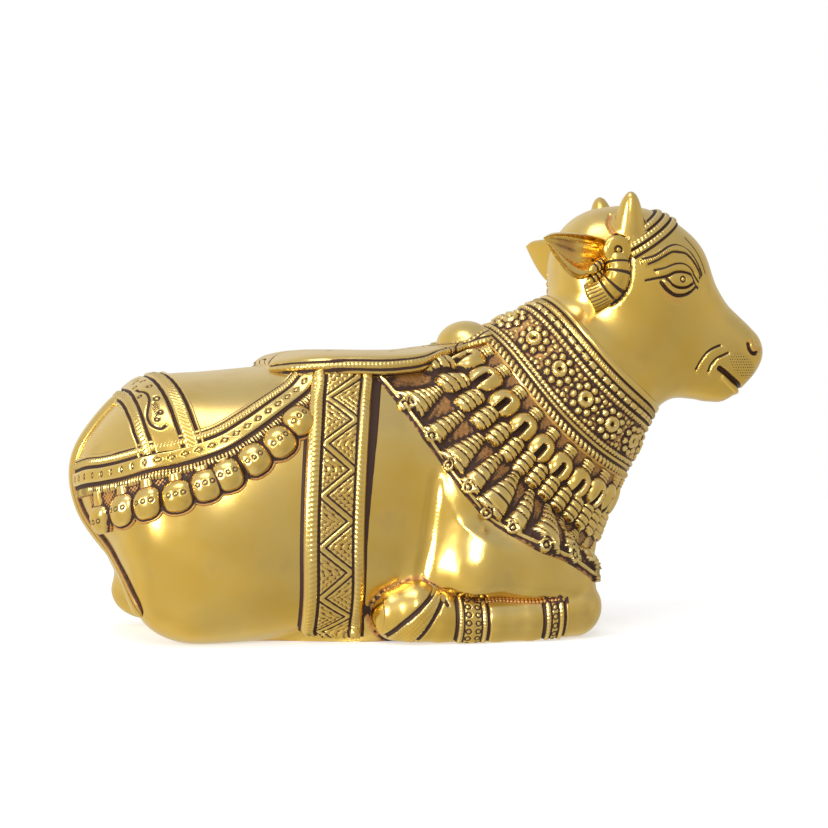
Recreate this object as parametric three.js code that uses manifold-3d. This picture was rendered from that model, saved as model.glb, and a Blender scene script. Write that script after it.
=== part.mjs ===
// A sacred bull lying down, cast in brass as one piece, with its harness, blanket and bells in relief.
// Millimetres. The head is toward +X, the bull's right side toward -Y and the underside is at Z = 0.
import * as THREE from "three";
import { mergeVertices } from "three/addons/utils/BufferGeometryUtils.js";
import Module from "manifold-3d";

// The figure. Its free forms are drawn in 300 parts of its length.
const LENGTH = 300;
const PART = LENGTH / 300;

// Blanket over the haunches: a patterned border, with round drops hung under it
const BORDER_WIDTH = 12;
const BORDER_RELIEF = 1.5;
const BORDER_CORD = 2.6;
const BORDER_CORD_RELIEF = 0.7;
const DROP_WIDTH = 10.8;
const DROP_HEIGHT = 12.4;
const DROP_RELIEF = 3.4;
const DROPS = 9;

// Strap across the rump, from the spine down to the border
const RUMP_STRAP_RELIEF = 1;
const RUMP_STRAP_WIDTH = 23;

// Girth strap round the belly, just behind the forelegs
const STRAP_WIDTH = 26;
const STRAP_RELIEF = 2.2;
const STRAP_RIM_WIDTH = 4.4;
const STRAP_RIM_RELIEF = 0.7;

// Collar with rosettes
const COLLAR_WIDTH = 36.5;
const COLLAR_RELIEF = 1.2;
const COLLAR_CORD = 1.8;
const COLLAR_BAR_ROW = 11;
const ROSETTE_DIAMETER = 12.6;
const ROSETTE_HEIGHT = 2.2;
const ROSETTES = 14;

// Three rows of pendants on the chest, below the collar
const HORSESHOE_WIDTH = 9.6;
const HORSESHOE_HEIGHT = 3;
const HORSESHOES = 24;
const BARREL_LENGTH = 9.6;
const BARREL_DIAMETER = 5.6;
const BARRELS = 36;
const BELL_MOUTH = 11;
const NARROW_BELL_MOUTH = 8;
const BELLS = 30;

// Jewellery of the head and forelegs
const BROW_BAND_WIDTH = 8;
const BROW_BAND_RELIEF = 0.8;
const EAR_DISC = 9.6;
const EAR_DISC_HEIGHT = 3;
const ANKLET_WIDTH = 12;
const HOOF_RING_WIDTH = 5;
const ANKLET_RELIEF = 0.9;

// How far the relief is rooted below the skin
const SINK = 4;

const wasm = await Module();
wasm.setup();

// Curves

function smooth(places, values, x) {
  const last = places.length - 1;
  const slope = (i) => (values[i + 1] - values[i]) / (places[i + 1] - places[i]);
  const tangent = (i) => {
    if (i === 0) return slope(0);
    if (i === last) return slope(last - 1);
    const before = places[i] - places[i - 1];
    const after = places[i + 1] - places[i];
    return (slope(i - 1) * after + slope(i) * before) / (before + after);
  };
  if (x <= places[0]) return values[0] + (x - places[0]) * tangent(0);
  if (x >= places[last]) return values[last] + (x - places[last]) * tangent(last);
  let i = 0;
  while (x > places[i + 1]) i += 1;
  const gap = places[i + 1] - places[i];
  const t = (x - places[i]) / gap;
  const rise = t * t * (3 - 2 * t);
  return (
    values[i] * (1 - rise) +
    values[i + 1] * rise +
    (t * t * t - 2 * t * t + t) * gap * tangent(i) +
    (t * t * t - t * t) * gap * tangent(i + 1)
  );
}

function easeBetween(low, high, x) {
  const t = Math.min(1, Math.max(0, (x - low) / (high - low)));
  return t * t * (3 - 2 * t);
}

// Closed solids from rings of points. A ring of one point is a tip.

function capFaces(outline) {
  const flat = outline.map(([a, b]) => new THREE.Vector2(a, b));
  const turn = Math.sign(THREE.ShapeUtils.area(flat));
  return THREE.ShapeUtils.triangulateShape(flat, []).map(([i, j, k]) => {
    const side = THREE.ShapeUtils.area([flat[i], flat[j], flat[k]]);
    return Math.sign(side) === turn ? [i, j, k] : [i, k, j];
  });
}

function solidFromRings(rings, caps = [], loop = false) {
  const positions = [];
  const starts = [];
  for (const ring of rings) {
    starts.push(positions.length / 3);
    for (const point of ring) positions.push(point.x, point.y, point.z);
  }
  const faces = [];
  const spans = loop ? rings.length : rings.length - 1;
  for (let i = 0; i < spans; i += 1) {
    const j = (i + 1) % rings.length;
    const around = Math.max(rings[i].length, rings[j].length);
    for (let k = 0; k < around; k += 1) {
      const next = (k + 1) % around;
      const [a, b] = [starts[i], starts[j]];
      if (rings[i].length === 1) faces.push([a, b + k, b + next]);
      else if (rings[j].length === 1) faces.push([a + k, b, a + next]);
      else faces.push([a + k, b + k, b + next], [a + k, b + next, a + next]);
    }
  }
  const end = starts[rings.length - 1];
  for (const [i, j, k] of caps) faces.push([starts[0] + i, starts[0] + j, starts[0] + k], [end + i, end + k, end + j]);
  const corner = (i) => new THREE.Vector3().fromArray(positions, 3 * i);
  let volume = 0;
  for (const [i, j, k] of faces) volume += corner(i).dot(corner(j).cross(corner(k)));
  if (volume < 0) for (const face of faces) face.reverse();
  return asSolid(new Float32Array(positions), new Uint32Array(faces.flat()));
}

function asSolid(vertProperties, triVerts) {
  return new wasm.Manifold(new wasm.Mesh({ numProp: 3, vertProperties, triVerts }));
}

function solidFromGeometry(geometry) {
  geometry.deleteAttribute("normal");
  geometry.deleteAttribute("uv");
  const merged = mergeVertices(geometry, 1e-5);
  return asSolid(new Float32Array(merged.attributes.position.array), Uint32Array.from(merged.index.array));
}

function join(solids) {
  return solids.reduce((whole, solid) => whole.add(solid));
}

// A long form: sections across a straight line in the middle plane.
// Each row is the place along the line, the top, the bottom, the widest level and half the width.
class Loft {
  constructor(origin, toward, power, rows) {
    this.origin = new THREE.Vector2(...origin).multiplyScalar(PART);
    this.along = new THREE.Vector2(...toward).normalize();
    this.power = power;
    this.rows = rows.map((row) => row.map((value) => value * PART));
    this.places = this.rows.map((row) => row[0]);
    const wide = this.rows.filter((row) => row[4] > 0);
    this.widePlaces = wide.map((row) => row[0]);
    this.levels = this.rows.map((row) => row[3]);
    this.squares = this.rows.map((row) => row[4] * row[4]);
    this.above = wide.map(([, top, , level, width]) => (top - level) / width);
    this.below = wide.map(([, , bottom, level, width]) => (level - bottom) / width);
  }

  section(place) {
    const held = Math.min(Math.max(place, this.widePlaces[0]), this.widePlaces[this.widePlaces.length - 1]);
    return {
      level: smooth(this.places, this.levels, place),
      square: smooth(this.places, this.squares, place),
      above: smooth(this.widePlaces, this.above, held),
      below: smooth(this.widePlaces, this.below, held),
    };
  }

  holds(point) {
    const [x, z] = [point.x - this.origin.x, point.z - this.origin.y];
    const place = x * this.along.x + z * this.along.y;
    if (place <= this.places[0] || place >= this.places[this.places.length - 1]) return false;
    const { level, square, above, below } = this.section(place);
    const rise = z * this.along.x - x * this.along.y - level;
    const across = Math.abs(point.y) ** this.power;
    const up = Math.abs(rise / (rise > 0 ? above : below)) ** this.power;
    return (across + up) ** (2 / this.power) < square;
  }

  point(place, rise, y) {
    return new THREE.Vector3(
      this.origin.x + place * this.along.x - rise * this.along.y,
      y,
      this.origin.y + place * this.along.y + rise * this.along.x,
    );
  }

  solid(around) {
    return solidFromRings(this.places.map((place) => this.ring(place, around)));
  }

  ring(place, around) {
    const { level, square, above, below } = this.section(place);
    if (place === this.places[0] || place === this.places[this.places.length - 1]) {
      return [this.point(place, level, 0)];
    }
    const width = Math.sqrt(square);
    const curve = (value) => Math.sign(value) * Math.abs(value) ** (2 / this.power);
    return Array.from({ length: around }, (unused, k) => {
      const angle = (k / around) * 2 * Math.PI;
      const up = curve(Math.sin(angle));
      return this.point(place, level + width * up * (up > 0 ? above : below), width * curve(Math.cos(angle)));
    });
  }
}

// A rounded lump, turned about Y by pitch and then about Z by turn, both in degrees
class Lump {
  constructor(centre, radii, pitch = 0, turn = 0) {
    this.centre = new THREE.Vector3(...centre).multiplyScalar(PART);
    this.radii = new THREE.Vector3(...radii).multiplyScalar(PART);
    const [tip, swing] = [pitch, turn].map(THREE.MathUtils.degToRad);
    this.turn = new THREE.Quaternion().setFromEuler(new THREE.Euler(0, -tip, swing, "ZYX"));
  }

  holds(point) {
    const local = point.clone().sub(this.centre).applyQuaternion(this.turn.clone().invert());
    return local.divide(this.radii).length() < 1;
  }

  solid(around, rings) {
    const geometry = new THREE.SphereGeometry(1, around, rings);
    geometry.rotateX(Math.PI / 2);
    const placed = new THREE.Matrix4().compose(this.centre, this.turn, this.radii);
    return solidFromGeometry(geometry.applyMatrix4(placed));
  }
}

// A limb: round sections along a bent line, with round ends. Each row is x, y, z and the radius.
class Limb {
  constructor(rows) {
    this.points = rows.map(([x, y, z]) => new THREE.Vector3(x, y, z).multiplyScalar(PART));
    this.radii = rows.map((row) => row[3] * PART);
  }

  holds(point) {
    for (let i = 0; i + 1 < this.points.length; i += 1) {
      const span = this.points[i + 1].clone().sub(this.points[i]);
      const t = Math.min(1, Math.max(0, point.clone().sub(this.points[i]).dot(span) / span.lengthSq()));
      const centre = this.points[i].clone().addScaledVector(span, t);
      if (centre.distanceTo(point) < this.radii[i] + (this.radii[i + 1] - this.radii[i]) * t) return true;
    }
    return false;
  }

  ring(i, reach, around) {
    const last = this.points.length - 1;
    const ahead = this.points[Math.min(i + 1, last)].clone().sub(this.points[Math.max(i - 1, 0)]).normalize();
    const side = new THREE.Vector3(0, 1, 0).cross(ahead).normalize();
    const other = ahead.clone().cross(side);
    const radius = this.radii[i] * Math.sqrt(Math.max(0, 1 - reach * reach));
    const centre = this.points[i].clone().addScaledVector(ahead, reach * this.radii[i]);
    if (radius === 0) return [centre];
    return Array.from({ length: around }, (unused, k) => {
      const angle = (k / around) * 2 * Math.PI;
      return centre
        .clone()
        .addScaledVector(side, radius * Math.cos(angle))
        .addScaledVector(other, radius * Math.sin(angle));
    });
  }

  solid(around) {
    const last = this.points.length - 1;
    const rings = [this.ring(0, -1, around), this.ring(0, -0.6, around)];
    for (let i = 0; i <= last; i += 1) rings.push(this.ring(i, 0, around));
    rings.push(this.ring(last, 0.6, around), this.ring(last, 1, around));
    return solidFromRings(rings);
  }
}

// The animal

const body = new Loft([0, 0], [1, 0], 2.6, [
  [-146, 66, 66, 66, 0],
  [-143.5, 77, 52, 65, 18],
  [-138, 85.4, 42, 62, 28],
  [-130, 94.6, 31, 58, 38],
  [-121, 102.8, 17, 54, 46],
  [-110, 105.8, 6, 50, 50],
  [-95, 107, -0.5, 47, 54],
  [-70, 109.2, -1.5, 46, 56.5],
  [-40, 112, -1.5, 46, 55],
  [-10, 113, -2, 47, 51],
  [20, 112, -2, 48, 47],
  [42, 104, -1, 50, 39],
  [58, 88, 12, 50, 28],
  [72, 50, 50, 50, 0],
]);

const NECK_FOOT = [41, 77];
const neck = new Loft(NECK_FOOT, [1, 1], 2, [
  [-40, 40, -60, -8, 44],
  [-15, 52, -54.5, -5, 43.5],
  [0, 54, -49, -3, 41],
  [12, 50, -44.8, -2, 38],
  [24, 44, -41, -1, 35.4],
  [34, 40.4, -37.6, 0, 32.6],
  [44, 37, -34.5, 0, 30.2],
  [54, 33, -32, 0, 28],
  [66, 26, -28, 0, 25],
  [80, 10, -14, 0, 10],
  [84, 0, 0, 0, 0],
]);

const head = new Loft([56, 160], [96, -52], 2.3, [
  [0, 3, 3, 3, 0],
  [5, 18, -12, 3, 14],
  [15, 27, -26, 0, 21],
  [31, 33.5, -37, -2, 26],
  [45, 33.5, -42, -4, 27],
  [57, 30, -42.5, -7, 25],
  [70, 19.5, -38.5, -9, 21],
  [78.5, 15, -31.5, -8, 18],
  [86, 13, -28, -7, 16.5],
  [93, 11.3, -25.5, -6.5, 15.5],
  [99, 9, -21, -5, 13.5],
  [103, 5, -11, -2.5, 8.5],
  [105, -2, -2, -2, 0],
]);

const saddle = new Loft([0, 0], [1, 0], 3, [
  [-75, 108, 108, 108, 0],
  [-73.5, 110, 104.5, 108, 17],
  [-69.5, 112.5, 102, 108.5, 28],
  [-58.7, 115.4, 101, 108.5, 37.5],
  [-40, 116.2, 101, 108.8, 40],
  [-21, 115.8, 101, 109, 40],
  [-10, 115.7, 103, 110.5, 37],
  [-2, 116.6, 106, 113, 28.5],
  [12, 119, 110, 116, 17],
  [26, 123, 112, 119, 14],
  [30, 118, 118, 118, 0],
]);

// The back is squared up to the edge of the saddle
const saddleSeat = new Loft([0, 0], [1, 0], 3, [
  [-70, 99, 99, 99, 0],
  [-64, 109, 88, 99, 32.5],
  [-56, 111, 84, 99, 38],
  [-30, 112, 84, 99, 38.5],
  [-12, 112, 84, 99, 36],
  [4, 112, 84, 99, 30],
  [10, 99, 99, 99, 0],
]);

const hump = new Lump([16, 0, 118.5], [14, 13, 8.5], 12);

const haunch = (side) => new Lump([-88, 29 * side, 40], [42, 27, 38]);
const heel = (side) => new Lump([-111, 34 * side, 15], [16.5, 12, 12.6]);
const upperArm = (side) =>
  new Limb([
    [8, 36 * side, 58, 20],
    [27, 40 * side, 38, 16],
    [44, 43 * side, 22, 13],
  ]);
const shank = (side) =>
  new Limb([
    [-24, 48 * side, 11.5, 10.6],
    [-17, 49 * side, 12.5, 12.2],
    [-8, 50.5 * side, 10.5, 10.4],
    [2, 51 * side, 9.8, 9.9],
    [28, 51 * side, 10.4, 10.4],
    [48.6, 47 * side, 12.4, 12.4],
  ]);
const horn = (side) =>
  new Limb([
    [82, 14 * side, 160, 8.4],
    [82.6, 17 * side, 169, 7.6],
    [82.2, 19 * side, 176, 4.4],
    [81.6, 20.5 * side, 181, 1.8],
  ]);
const tail = new Limb([
  [-130, 0, 89, 4],
  [-141, 0, 78, 4.5],
  [-145.6, 0, 67, 4.6],
  [-140, 0, 48, 4.2],
  [-129.5, 0, 34, 3.6],
  [-117, 0, 20, 3.2],
]);

// What the relief is laid on
const SKIN = [body, saddleSeat, neck, head, upperArm(1), upperArm(-1), haunch(1), haunch(-1), shank(1), shank(-1)];

// The first point of the skin met on the way in to an inner point
function skinPoint(inner, outward, reach = 100 * PART) {
  const at = (distance) => inner.clone().addScaledVector(outward, distance);
  const inside = (distance) => SKIN.some((form) => form.holds(at(distance)));
  const step = 2 * PART;
  let distance = reach;
  while (distance > 0 && !inside(distance)) distance -= step;
  let [low, high] = [distance, distance + step];
  for (let i = 0; i < 12; i += 1) {
    const middle = (low + high) / 2;
    if (inside(middle)) low = middle;
    else high = middle;
  }
  return at(low);
}

// A place on the skin with its own axes: along a row, up the form and out of it
class Place {
  constructor(origin, along, up) {
    this.origin = origin;
    this.out = along.clone().cross(up).normalize();
    this.up = up.clone().normalize();
    this.along = this.up.clone().cross(this.out);
  }

  at(along, up, out) {
    return this.origin
      .clone()
      .addScaledVector(this.along, along)
      .addScaledVector(this.up, up)
      .addScaledVector(this.out, out);
  }
}

// Round the neck: distance up the neck from its foot, and the angle from the nape in degrees,
// which grows down the bull's right side

const NECK_UP = new THREE.Vector3(1, 0, 1).normalize();
const NECK_NAPE = new THREE.Vector3(-1, 0, 1).normalize();

function neckPoint(place, angle) {
  const turn = THREE.MathUtils.degToRad(angle);
  const foot = new THREE.Vector3(NECK_FOOT[0], 0, NECK_FOOT[1]).multiplyScalar(PART);
  const outward = NECK_NAPE.clone().multiplyScalar(Math.cos(turn));
  outward.y = -Math.sin(turn);
  return { point: skinPoint(foot.addScaledVector(NECK_UP, place), outward), outward };
}

function neckPlace(place, angle) {
  const { point, outward } = neckPoint(place, angle);
  const up = neckPoint(place + 2 * PART, angle).point.sub(point);
  const along = neckPoint(place, angle + 3).point.sub(point);
  const here = new Place(point, along, up);
  return here.out.dot(outward) > 0 ? here : new Place(point, along.negate(), up);
}

// Rows hang lower at the sides of the neck than at the nape and the throat
function rowPlace(side, droop, angle) {
  return (side + droop * Math.cos(THREE.MathUtils.degToRad(angle)) ** 2) * PART;
}

// On the flank: a guessed point is carried out to the skin from the middle of the barrel
function flankPoint(guess) {
  const rear = -112 * PART;
  const front = 10 * PART;
  const inner = new THREE.Vector3(Math.min(front, Math.max(rear, guess.x)), 0, 50 * PART);
  const outward = guess.clone().sub(inner).normalize();
  return { point: skinPoint(inner, outward), outward };
}

function flankPlace(guess, ahead) {
  const { point, outward } = flankPoint(guess);
  const along = ahead.clone().addScaledVector(outward, -ahead.dot(outward)).normalize();
  return new Place(point, along, outward.clone().cross(along));
}

// Relief

// A raised band: an outline of [across, height] pairs carried along a row of steps
function band(outline, steps, carry, loop = false) {
  const rings = [];
  for (let i = 0; i < steps; i += 1) {
    const t = loop ? i / steps : i / (steps - 1);
    rings.push(outline.map(([across, height]) => carry(t, across, height)));
  }
  return solidFromRings(rings, loop ? [] : capFaces(outline), loop);
}

// A flat-topped boss on an outline of [along, up] pairs, a little smaller at its top
function boss(here, outline, height, top = 0.8) {
  const level = (size, out) => outline.map(([along, up]) => here.at(along * size, up * size, out));
  return solidFromRings([level(1, -SINK), level(top, height)], capFaces(outline));
}

function polygon(sides, radius) {
  return Array.from({ length: sides }, (unused, k) => {
    const angle = (k / sides) * 2 * Math.PI;
    const size = typeof radius === "function" ? radius(k) : radius;
    return [size * Math.cos(angle), size * Math.sin(angle)];
  });
}

// Sides: -1 is the bull's right, 1 its left
function mirrored(side, [x, y, z]) {
  return new THREE.Vector3(x, y * side, z).multiplyScalar(PART);
}

// Round turned work lying on the neck: each row is the place up the neck and the radius
function turned(angle, rows, sides) {
  const rings = rows.map(([place, radius]) => {
    const here = neckPlace(place, angle);
    return polygon(sides, radius).map(([along, out]) => here.at(along, 0, out + radius * 0.2));
  });
  return solidFromRings(rings, capFaces(polygon(sides, 1)));
}

const collarLow = (angle) => rowPlace(9.2, 6.8, angle);

function collar() {
  const cord = COLLAR_CORD;
  const crown = COLLAR_RELIEF + cord * 0.6;
  const barLow = COLLAR_WIDTH - COLLAR_BAR_ROW;
  const outline = [
    [0, -SINK],
    [COLLAR_WIDTH / 3, -SINK],
    [(COLLAR_WIDTH * 2) / 3, -SINK],
    [COLLAR_WIDTH, -2 * SINK],
    [COLLAR_WIDTH, crown],
    [COLLAR_WIDTH - cord, COLLAR_RELIEF],
    [barLow + cord, COLLAR_RELIEF],
    [barLow + cord / 2, crown],
    [barLow, COLLAR_RELIEF],
    [cord, COLLAR_RELIEF],
    [0, crown],
  ];
  return band(outline, 22, (t, across, height) => {
    const angle = 360 * t;
    const { point, outward } = neckPoint(collarLow(angle) + across, angle);
    return point.addScaledVector(outward, height);
  }, true);
}

function rosettes() {
  const petals = 4;
  const petal = (k) => (ROSETTE_DIAMETER / 2) * (k % 2 === 0 ? 1 : 0.8);
  return Array.from({ length: ROSETTES }, (unused, i) => {
    const angle = ((i + 0.5) * 360) / ROSETTES;
    const here = neckPlace(collarLow(angle) + COLLAR_WIDTH * 0.42, angle);
    return boss(here, polygon(2 * petals, petal), ROSETTE_HEIGHT, 0.6);
  });
}

// Pendants stop short of the saddle, which covers the nape
function neckAngles(count, offset, clear) {
  const angles = Array.from({ length: count }, (unused, i) => ((i + offset) * 360) / count);
  return angles.filter((angle) => angle > clear && angle < 360 - clear);
}

function horseshoes() {
  const outer = HORSESHOE_WIDTH / 2;
  const inner = outer * 0.36;
  const leg = outer * 0.9;
  const half = [
    [inner, -leg],
    [outer * 0.85, -leg],
    [outer, outer * 0.2],
    [outer * 0.5, outer],
  ];
  const outline = [...half, ...half.map(([along, up]) => [-along, up]).reverse(), [0, inner]];
  return neckAngles(HORSESHOES, 0, 24).map((angle) => {
    const here = neckPlace(rowPlace(-3, 9, angle), angle);
    return boss(here, outline, HORSESHOE_HEIGHT, 0.82);
  });
}

function barrels() {
  const half = BARREL_LENGTH / 2;
  const radius = BARREL_DIAMETER / 2;
  return neckAngles(BARRELS, 0.5, 28).map((angle) => {
    const middle = rowPlace(-13.4, 6, angle);
    return turned(angle, [[middle - half, radius], [middle + half, radius * 0.8]], 4);
  });
}

// Distance up the neck of the mouths of the bells, which the forelegs push up at the front
function bellMouth(angle) {
  const folded = angle > 180 ? 360 - angle : angle;
  const lift = 10 * easeBetween(88, 125, folded);
  return rowPlace(-37.5, folded < 90 ? 14 : 3, angle) + lift * PART;
}

function bells() {
  return neckAngles(BELLS, 0.3, 24).map((angle, i) => {
    const mouth = bellMouth(angle);
    const top = rowPlace(-20.4, 6, angle);
    const radius = (i % 2 === 0 ? BELL_MOUTH : NARROW_BELL_MOUTH) / 2;
    return turned(angle, [[mouth, radius], [top, radius * 0.45]], 4);
  });
}

// The blanket's lower border on one side, from the saddle back to the tail
const BORDER_LINE = [
  [-57, 38, 107],
  [-64, 40, 101],
  [-73, 44, 93.5],
  [-83, 48, 87.5],
  [-95, 50, 81],
  [-111, 47, 75.5],
  [-126, 39, 71],
  [-136, 28, 67.5],
  [-144, 13, 65],
  [-147, 0, 64],
];

function borderCurve(side) {
  return new THREE.CatmullRomCurve3(BORDER_LINE.map((point) => mirrored(side, point)));
}

function border(side) {
  const curve = borderCurve(side);
  const half = BORDER_WIDTH / 2;
  const crown = BORDER_RELIEF + BORDER_CORD_RELIEF;
  const outline = [
    [-half, -SINK],
    [half, -SINK],
    [half, crown],
    [half - BORDER_CORD, BORDER_RELIEF],
    [-half + BORDER_CORD, BORDER_RELIEF],
    [-half, crown],
  ];
  return band(outline, 14, (t, across, height) => {
    const here = curve.getPointAt(t);
    const ahead = curve.getTangentAt(t);
    const outward = flankPoint(here).outward;
    const up = ahead.clone().cross(outward).multiplyScalar(-side).normalize();
    const laid = flankPoint(here.addScaledVector(up, across));
    return laid.point.addScaledVector(laid.outward, height);
  });
}

function drops(side) {
  const line = [
    [-63, 47, 87],
    [-71.5, 50.5, 79.5],
    [-82, 52, 73],
    [-95, 53, 65.5],
    [-111, 51, 58.5],
    [-125, 44, 55],
    [-138.5, 24, 49],
  ];
  const curve = new THREE.CatmullRomCurve3(line.map((point) => mirrored(side, point)));
  return Array.from({ length: DROPS }, (unused, i) => {
    const t = i / (DROPS - 1);
    const here = flankPlace(curve.getPointAt(t), curve.getTangentAt(t));
    const outline = polygon(7, 1).map(([along, up]) => [(along * DROP_WIDTH) / 2, (up * DROP_HEIGHT) / 2]);
    return boss(here, outline, DROP_RELIEF, 0.6);
  });
}

// Girth strap on one side: its middle line from under the saddle down to the underside
function girth(side) {
  const line = [
    [-44, 36, 108],
    [-47, 46, 92],
    [-49.5, 52, 76],
    [-51, 55, 58],
    [-51.6, 56, 38],
    [-50.5, 52, 20],
    [-48, 36, 6],
    [-46, 20, 2],
  ];
  const curve = new THREE.CatmullRomCurve3(line.map((point) => mirrored(side, point)));
  const half = STRAP_WIDTH / 2;
  const crown = STRAP_RELIEF + STRAP_RIM_RELIEF;
  const outline = [
    [-half, -SINK],
    [half, -SINK],
    [half, crown],
    [half - STRAP_RIM_WIDTH, STRAP_RELIEF],
    [-half + STRAP_RIM_WIDTH, STRAP_RELIEF],
    [-half, crown],
  ];
  return band(outline, 11, (t, across, height) => {
    const guess = curve.getPointAt(t);
    guess.x += across;
    const laid = flankPoint(guess);
    return laid.point.addScaledVector(laid.outward, height);
  });
}

// Strap over the rump on one side
function rumpStrap(side) {
  const line = [
    [-117, 4, 108],
    [-116, 17, 102],
    [-114.5, 29, 94],
    [-112.5, 38, 86],
    [-110.5, 44, 79],
  ];
  const curve = new THREE.CatmullRomCurve3(line.map((point) => mirrored(side, point)));
  const half = RUMP_STRAP_WIDTH / 2;
  const outline = [
    [-half, -SINK],
    [half, -SINK],
    [half, RUMP_STRAP_RELIEF],
    [-half, RUMP_STRAP_RELIEF],
  ];
  return band(outline, 5, (t, across, height) => {
    const guess = curve.getPointAt(t);
    guess.x += across;
    const laid = flankPoint(guess);
    return laid.point.addScaledVector(laid.outward, height);
  });
}

// Ears: hollow leaves, narrower toward the tip. The right one is swept back, the left one stands out more.
const EAR_TIP = { [-1]: [39, 40, 161.2], 1: [57, 44, 161] };

function ear(side) {
  const root = mirrored(side, [70, 22, 157]);
  const tip = mirrored(side, EAR_TIP[side]);
  const ahead = tip.clone().sub(root).normalize();
  const low = new THREE.Vector3(0, 0, -1);
  const face = ahead.clone().cross(low).normalize().multiplyScalar(-side);
  const rows = [
    [-0.2, 5, 5, 4],
    [0.2, 5, 10, 5],
    [0.45, 4, 11.5, 4.6],
    [0.7, 3, 8.5, 3.6],
    [0.88, 2, 4.4, 2.4],
  ];
  const rings = rows.map(([t, above, below, thick]) => {
    const centre = root.clone().lerp(tip, t);
    const corner = (rise, out) =>
      centre.clone().addScaledVector(low, -rise * PART).addScaledVector(face, out * thick * PART);
    return [
      corner(above, -0.1),
      corner(above * 0.5, -0.5),
      corner(-below * 0.5, -0.5),
      corner(-below, 0),
      corner(-below * 0.65, 0.55),
      corner(-below * 0.25, 0.1),
      corner(above * 0.35, 0.15),
      corner(above * 0.8, 0.5),
    ];
  });
  const outline = [[1, 0], [0.5, -0.5], [-0.5, -0.5], [-1, 0], [-0.65, 0.55], [-0.25, 0.1], [0.35, 0.15], [0.8, 0.5]];
  rings.push(rings[rings.length - 1].map((point) => point.clone().lerp(tip, 0.8)));
  return solidFromRings(rings, capFaces(outline));
}

// Cheek place: a guessed point is carried out sideways to the skin of the head
function cheekPlace(side, x, z, turn = 0) {
  const lift = (dx, dz) => {
    const inner = mirrored(side, [x + dx, 0, z + dz]);
    return skinPoint(inner, new THREE.Vector3(0, side, 0), 60 * PART);
  };
  const along = lift(2, 0).sub(lift(-2, 0)).normalize();
  const up = lift(0, 2).sub(lift(0, -2)).normalize();
  const angle = THREE.MathUtils.degToRad(turn);
  const turned = along.clone().multiplyScalar(Math.cos(angle)).addScaledVector(up, Math.sin(angle));
  const out = along.clone().cross(up).multiplyScalar(-side);
  const here = new Place(lift(0, 0), turned, out.clone().cross(turned));
  return here;
}

// Ornament of the ear: a disc over the root, and a curled drop of rings below it
function earDrop(side) {
  const disc = new Place(mirrored(side, [74, 27, 157]), new THREE.Vector3(1, 0, 0), new THREE.Vector3(0, 0, -side));
  const solids = [boss(disc, polygon(9, EAR_DISC / 2), EAR_DISC_HEIGHT + 3 * PART, 0.8)];
  const line = [
    [76, 28, 152, 4.4],
    [76, 29, 147.5, 4.7],
    [74.5, 28, 143, 4.8],
    [71.5, 26, 139, 5.2],
    [67, 23, 137.5, 6],
  ];
  solids.push(new Limb(line.map(([x, y, z, radius]) => [x, y * side, z, radius])).solid(6));
  return solids;
}

// Brow band: from the ear ornament over the forehead, in front of the horns
function browBand() {
  const half = BROW_BAND_WIDTH / 2;
  const foot = new THREE.Vector3(83, 0, 150).multiplyScalar(PART);
  const rise = new THREE.Vector3(22, 0, 21).normalize();
  const ahead = new THREE.Vector3(21, 0, -22).normalize();
  const outline = [
    [-half, -SINK],
    [half, -SINK],
    [half, BROW_BAND_RELIEF],
    [-half, BROW_BAND_RELIEF],
  ];
  return band(outline, 15, (t, across, height) => {
    const angle = THREE.MathUtils.degToRad(-72 + 144 * t);
    const outward = rise.clone().multiplyScalar(Math.cos(angle));
    outward.y = Math.sin(angle);
    const inner = foot.clone().addScaledVector(ahead, across + 6 * PART * Math.cos(angle));
    return skinPoint(inner, outward, 60 * PART).addScaledVector(outward, height);
  });
}

function eye(side) {
  const ball = cheekPlace(side, 104.6, 145.2, -4);
  const lid = (rise) => [
    [-6.2, 0.2],
    [-3, rise],
    [1, rise * 1.2],
    [4.6, rise * 0.6],
    [6, -0.6],
  ];
  const almond = [...lid(2.9), ...lid(-3.2).slice(1, 4).reverse()];
  const scaled = almond.map(([along, up]) => [along * PART, up * PART]);
  return [boss(ball, scaled, 1.3 * PART, 0.75)];
}

// Arched ridge over the eye
function browRidge(side) {
  const line = [
    [88, 151.5],
    [94, 156.5],
    [101, 159.6],
    [107, 159],
    [112.5, 153],
    [116, 145],
  ];
  const curve = new THREE.CatmullRomCurve3(line.map(([x, z]) => mirrored(side, [x, 0, z])));
  const outline = [
    [-1.5 * PART, -SINK],
    [1.5 * PART, -SINK],
    [1.1 * PART, 1.1 * PART],
    [-1.1 * PART, 1.1 * PART],
  ];
  return band(outline, 5, (t, across, height) => {
    const here = curve.getPointAt(t);
    const ahead = curve.getTangentAt(t);
    here.x -= ahead.z * across;
    here.z += ahead.x * across;
    const outward = new THREE.Vector3(0, side, 0);
    return skinPoint(here, outward, 60 * PART).addScaledVector(outward, height);
  });
}

// Cuts of the muzzle: the line of the mouth and a nostril
function muzzleCuts(side) {
  const slot = (x, z, turn, long, high) => {
    const here = cheekPlace(side, x, z, turn);
    const outline = polygon(6, 1).map(([along, up]) => [(along * long * PART) / 2, (up * high * PART) / 2]);
    const level = (out) => outline.map(([along, up]) => here.at(along, up, out));
    return solidFromRings([level(-1.8 * PART), level(6 * PART)], capFaces(outline));
  };
  return [slot(129.5, 104.3, -38, 13, 2), slot(140, 116.4, 12, 5, 2.6)];
}

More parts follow.
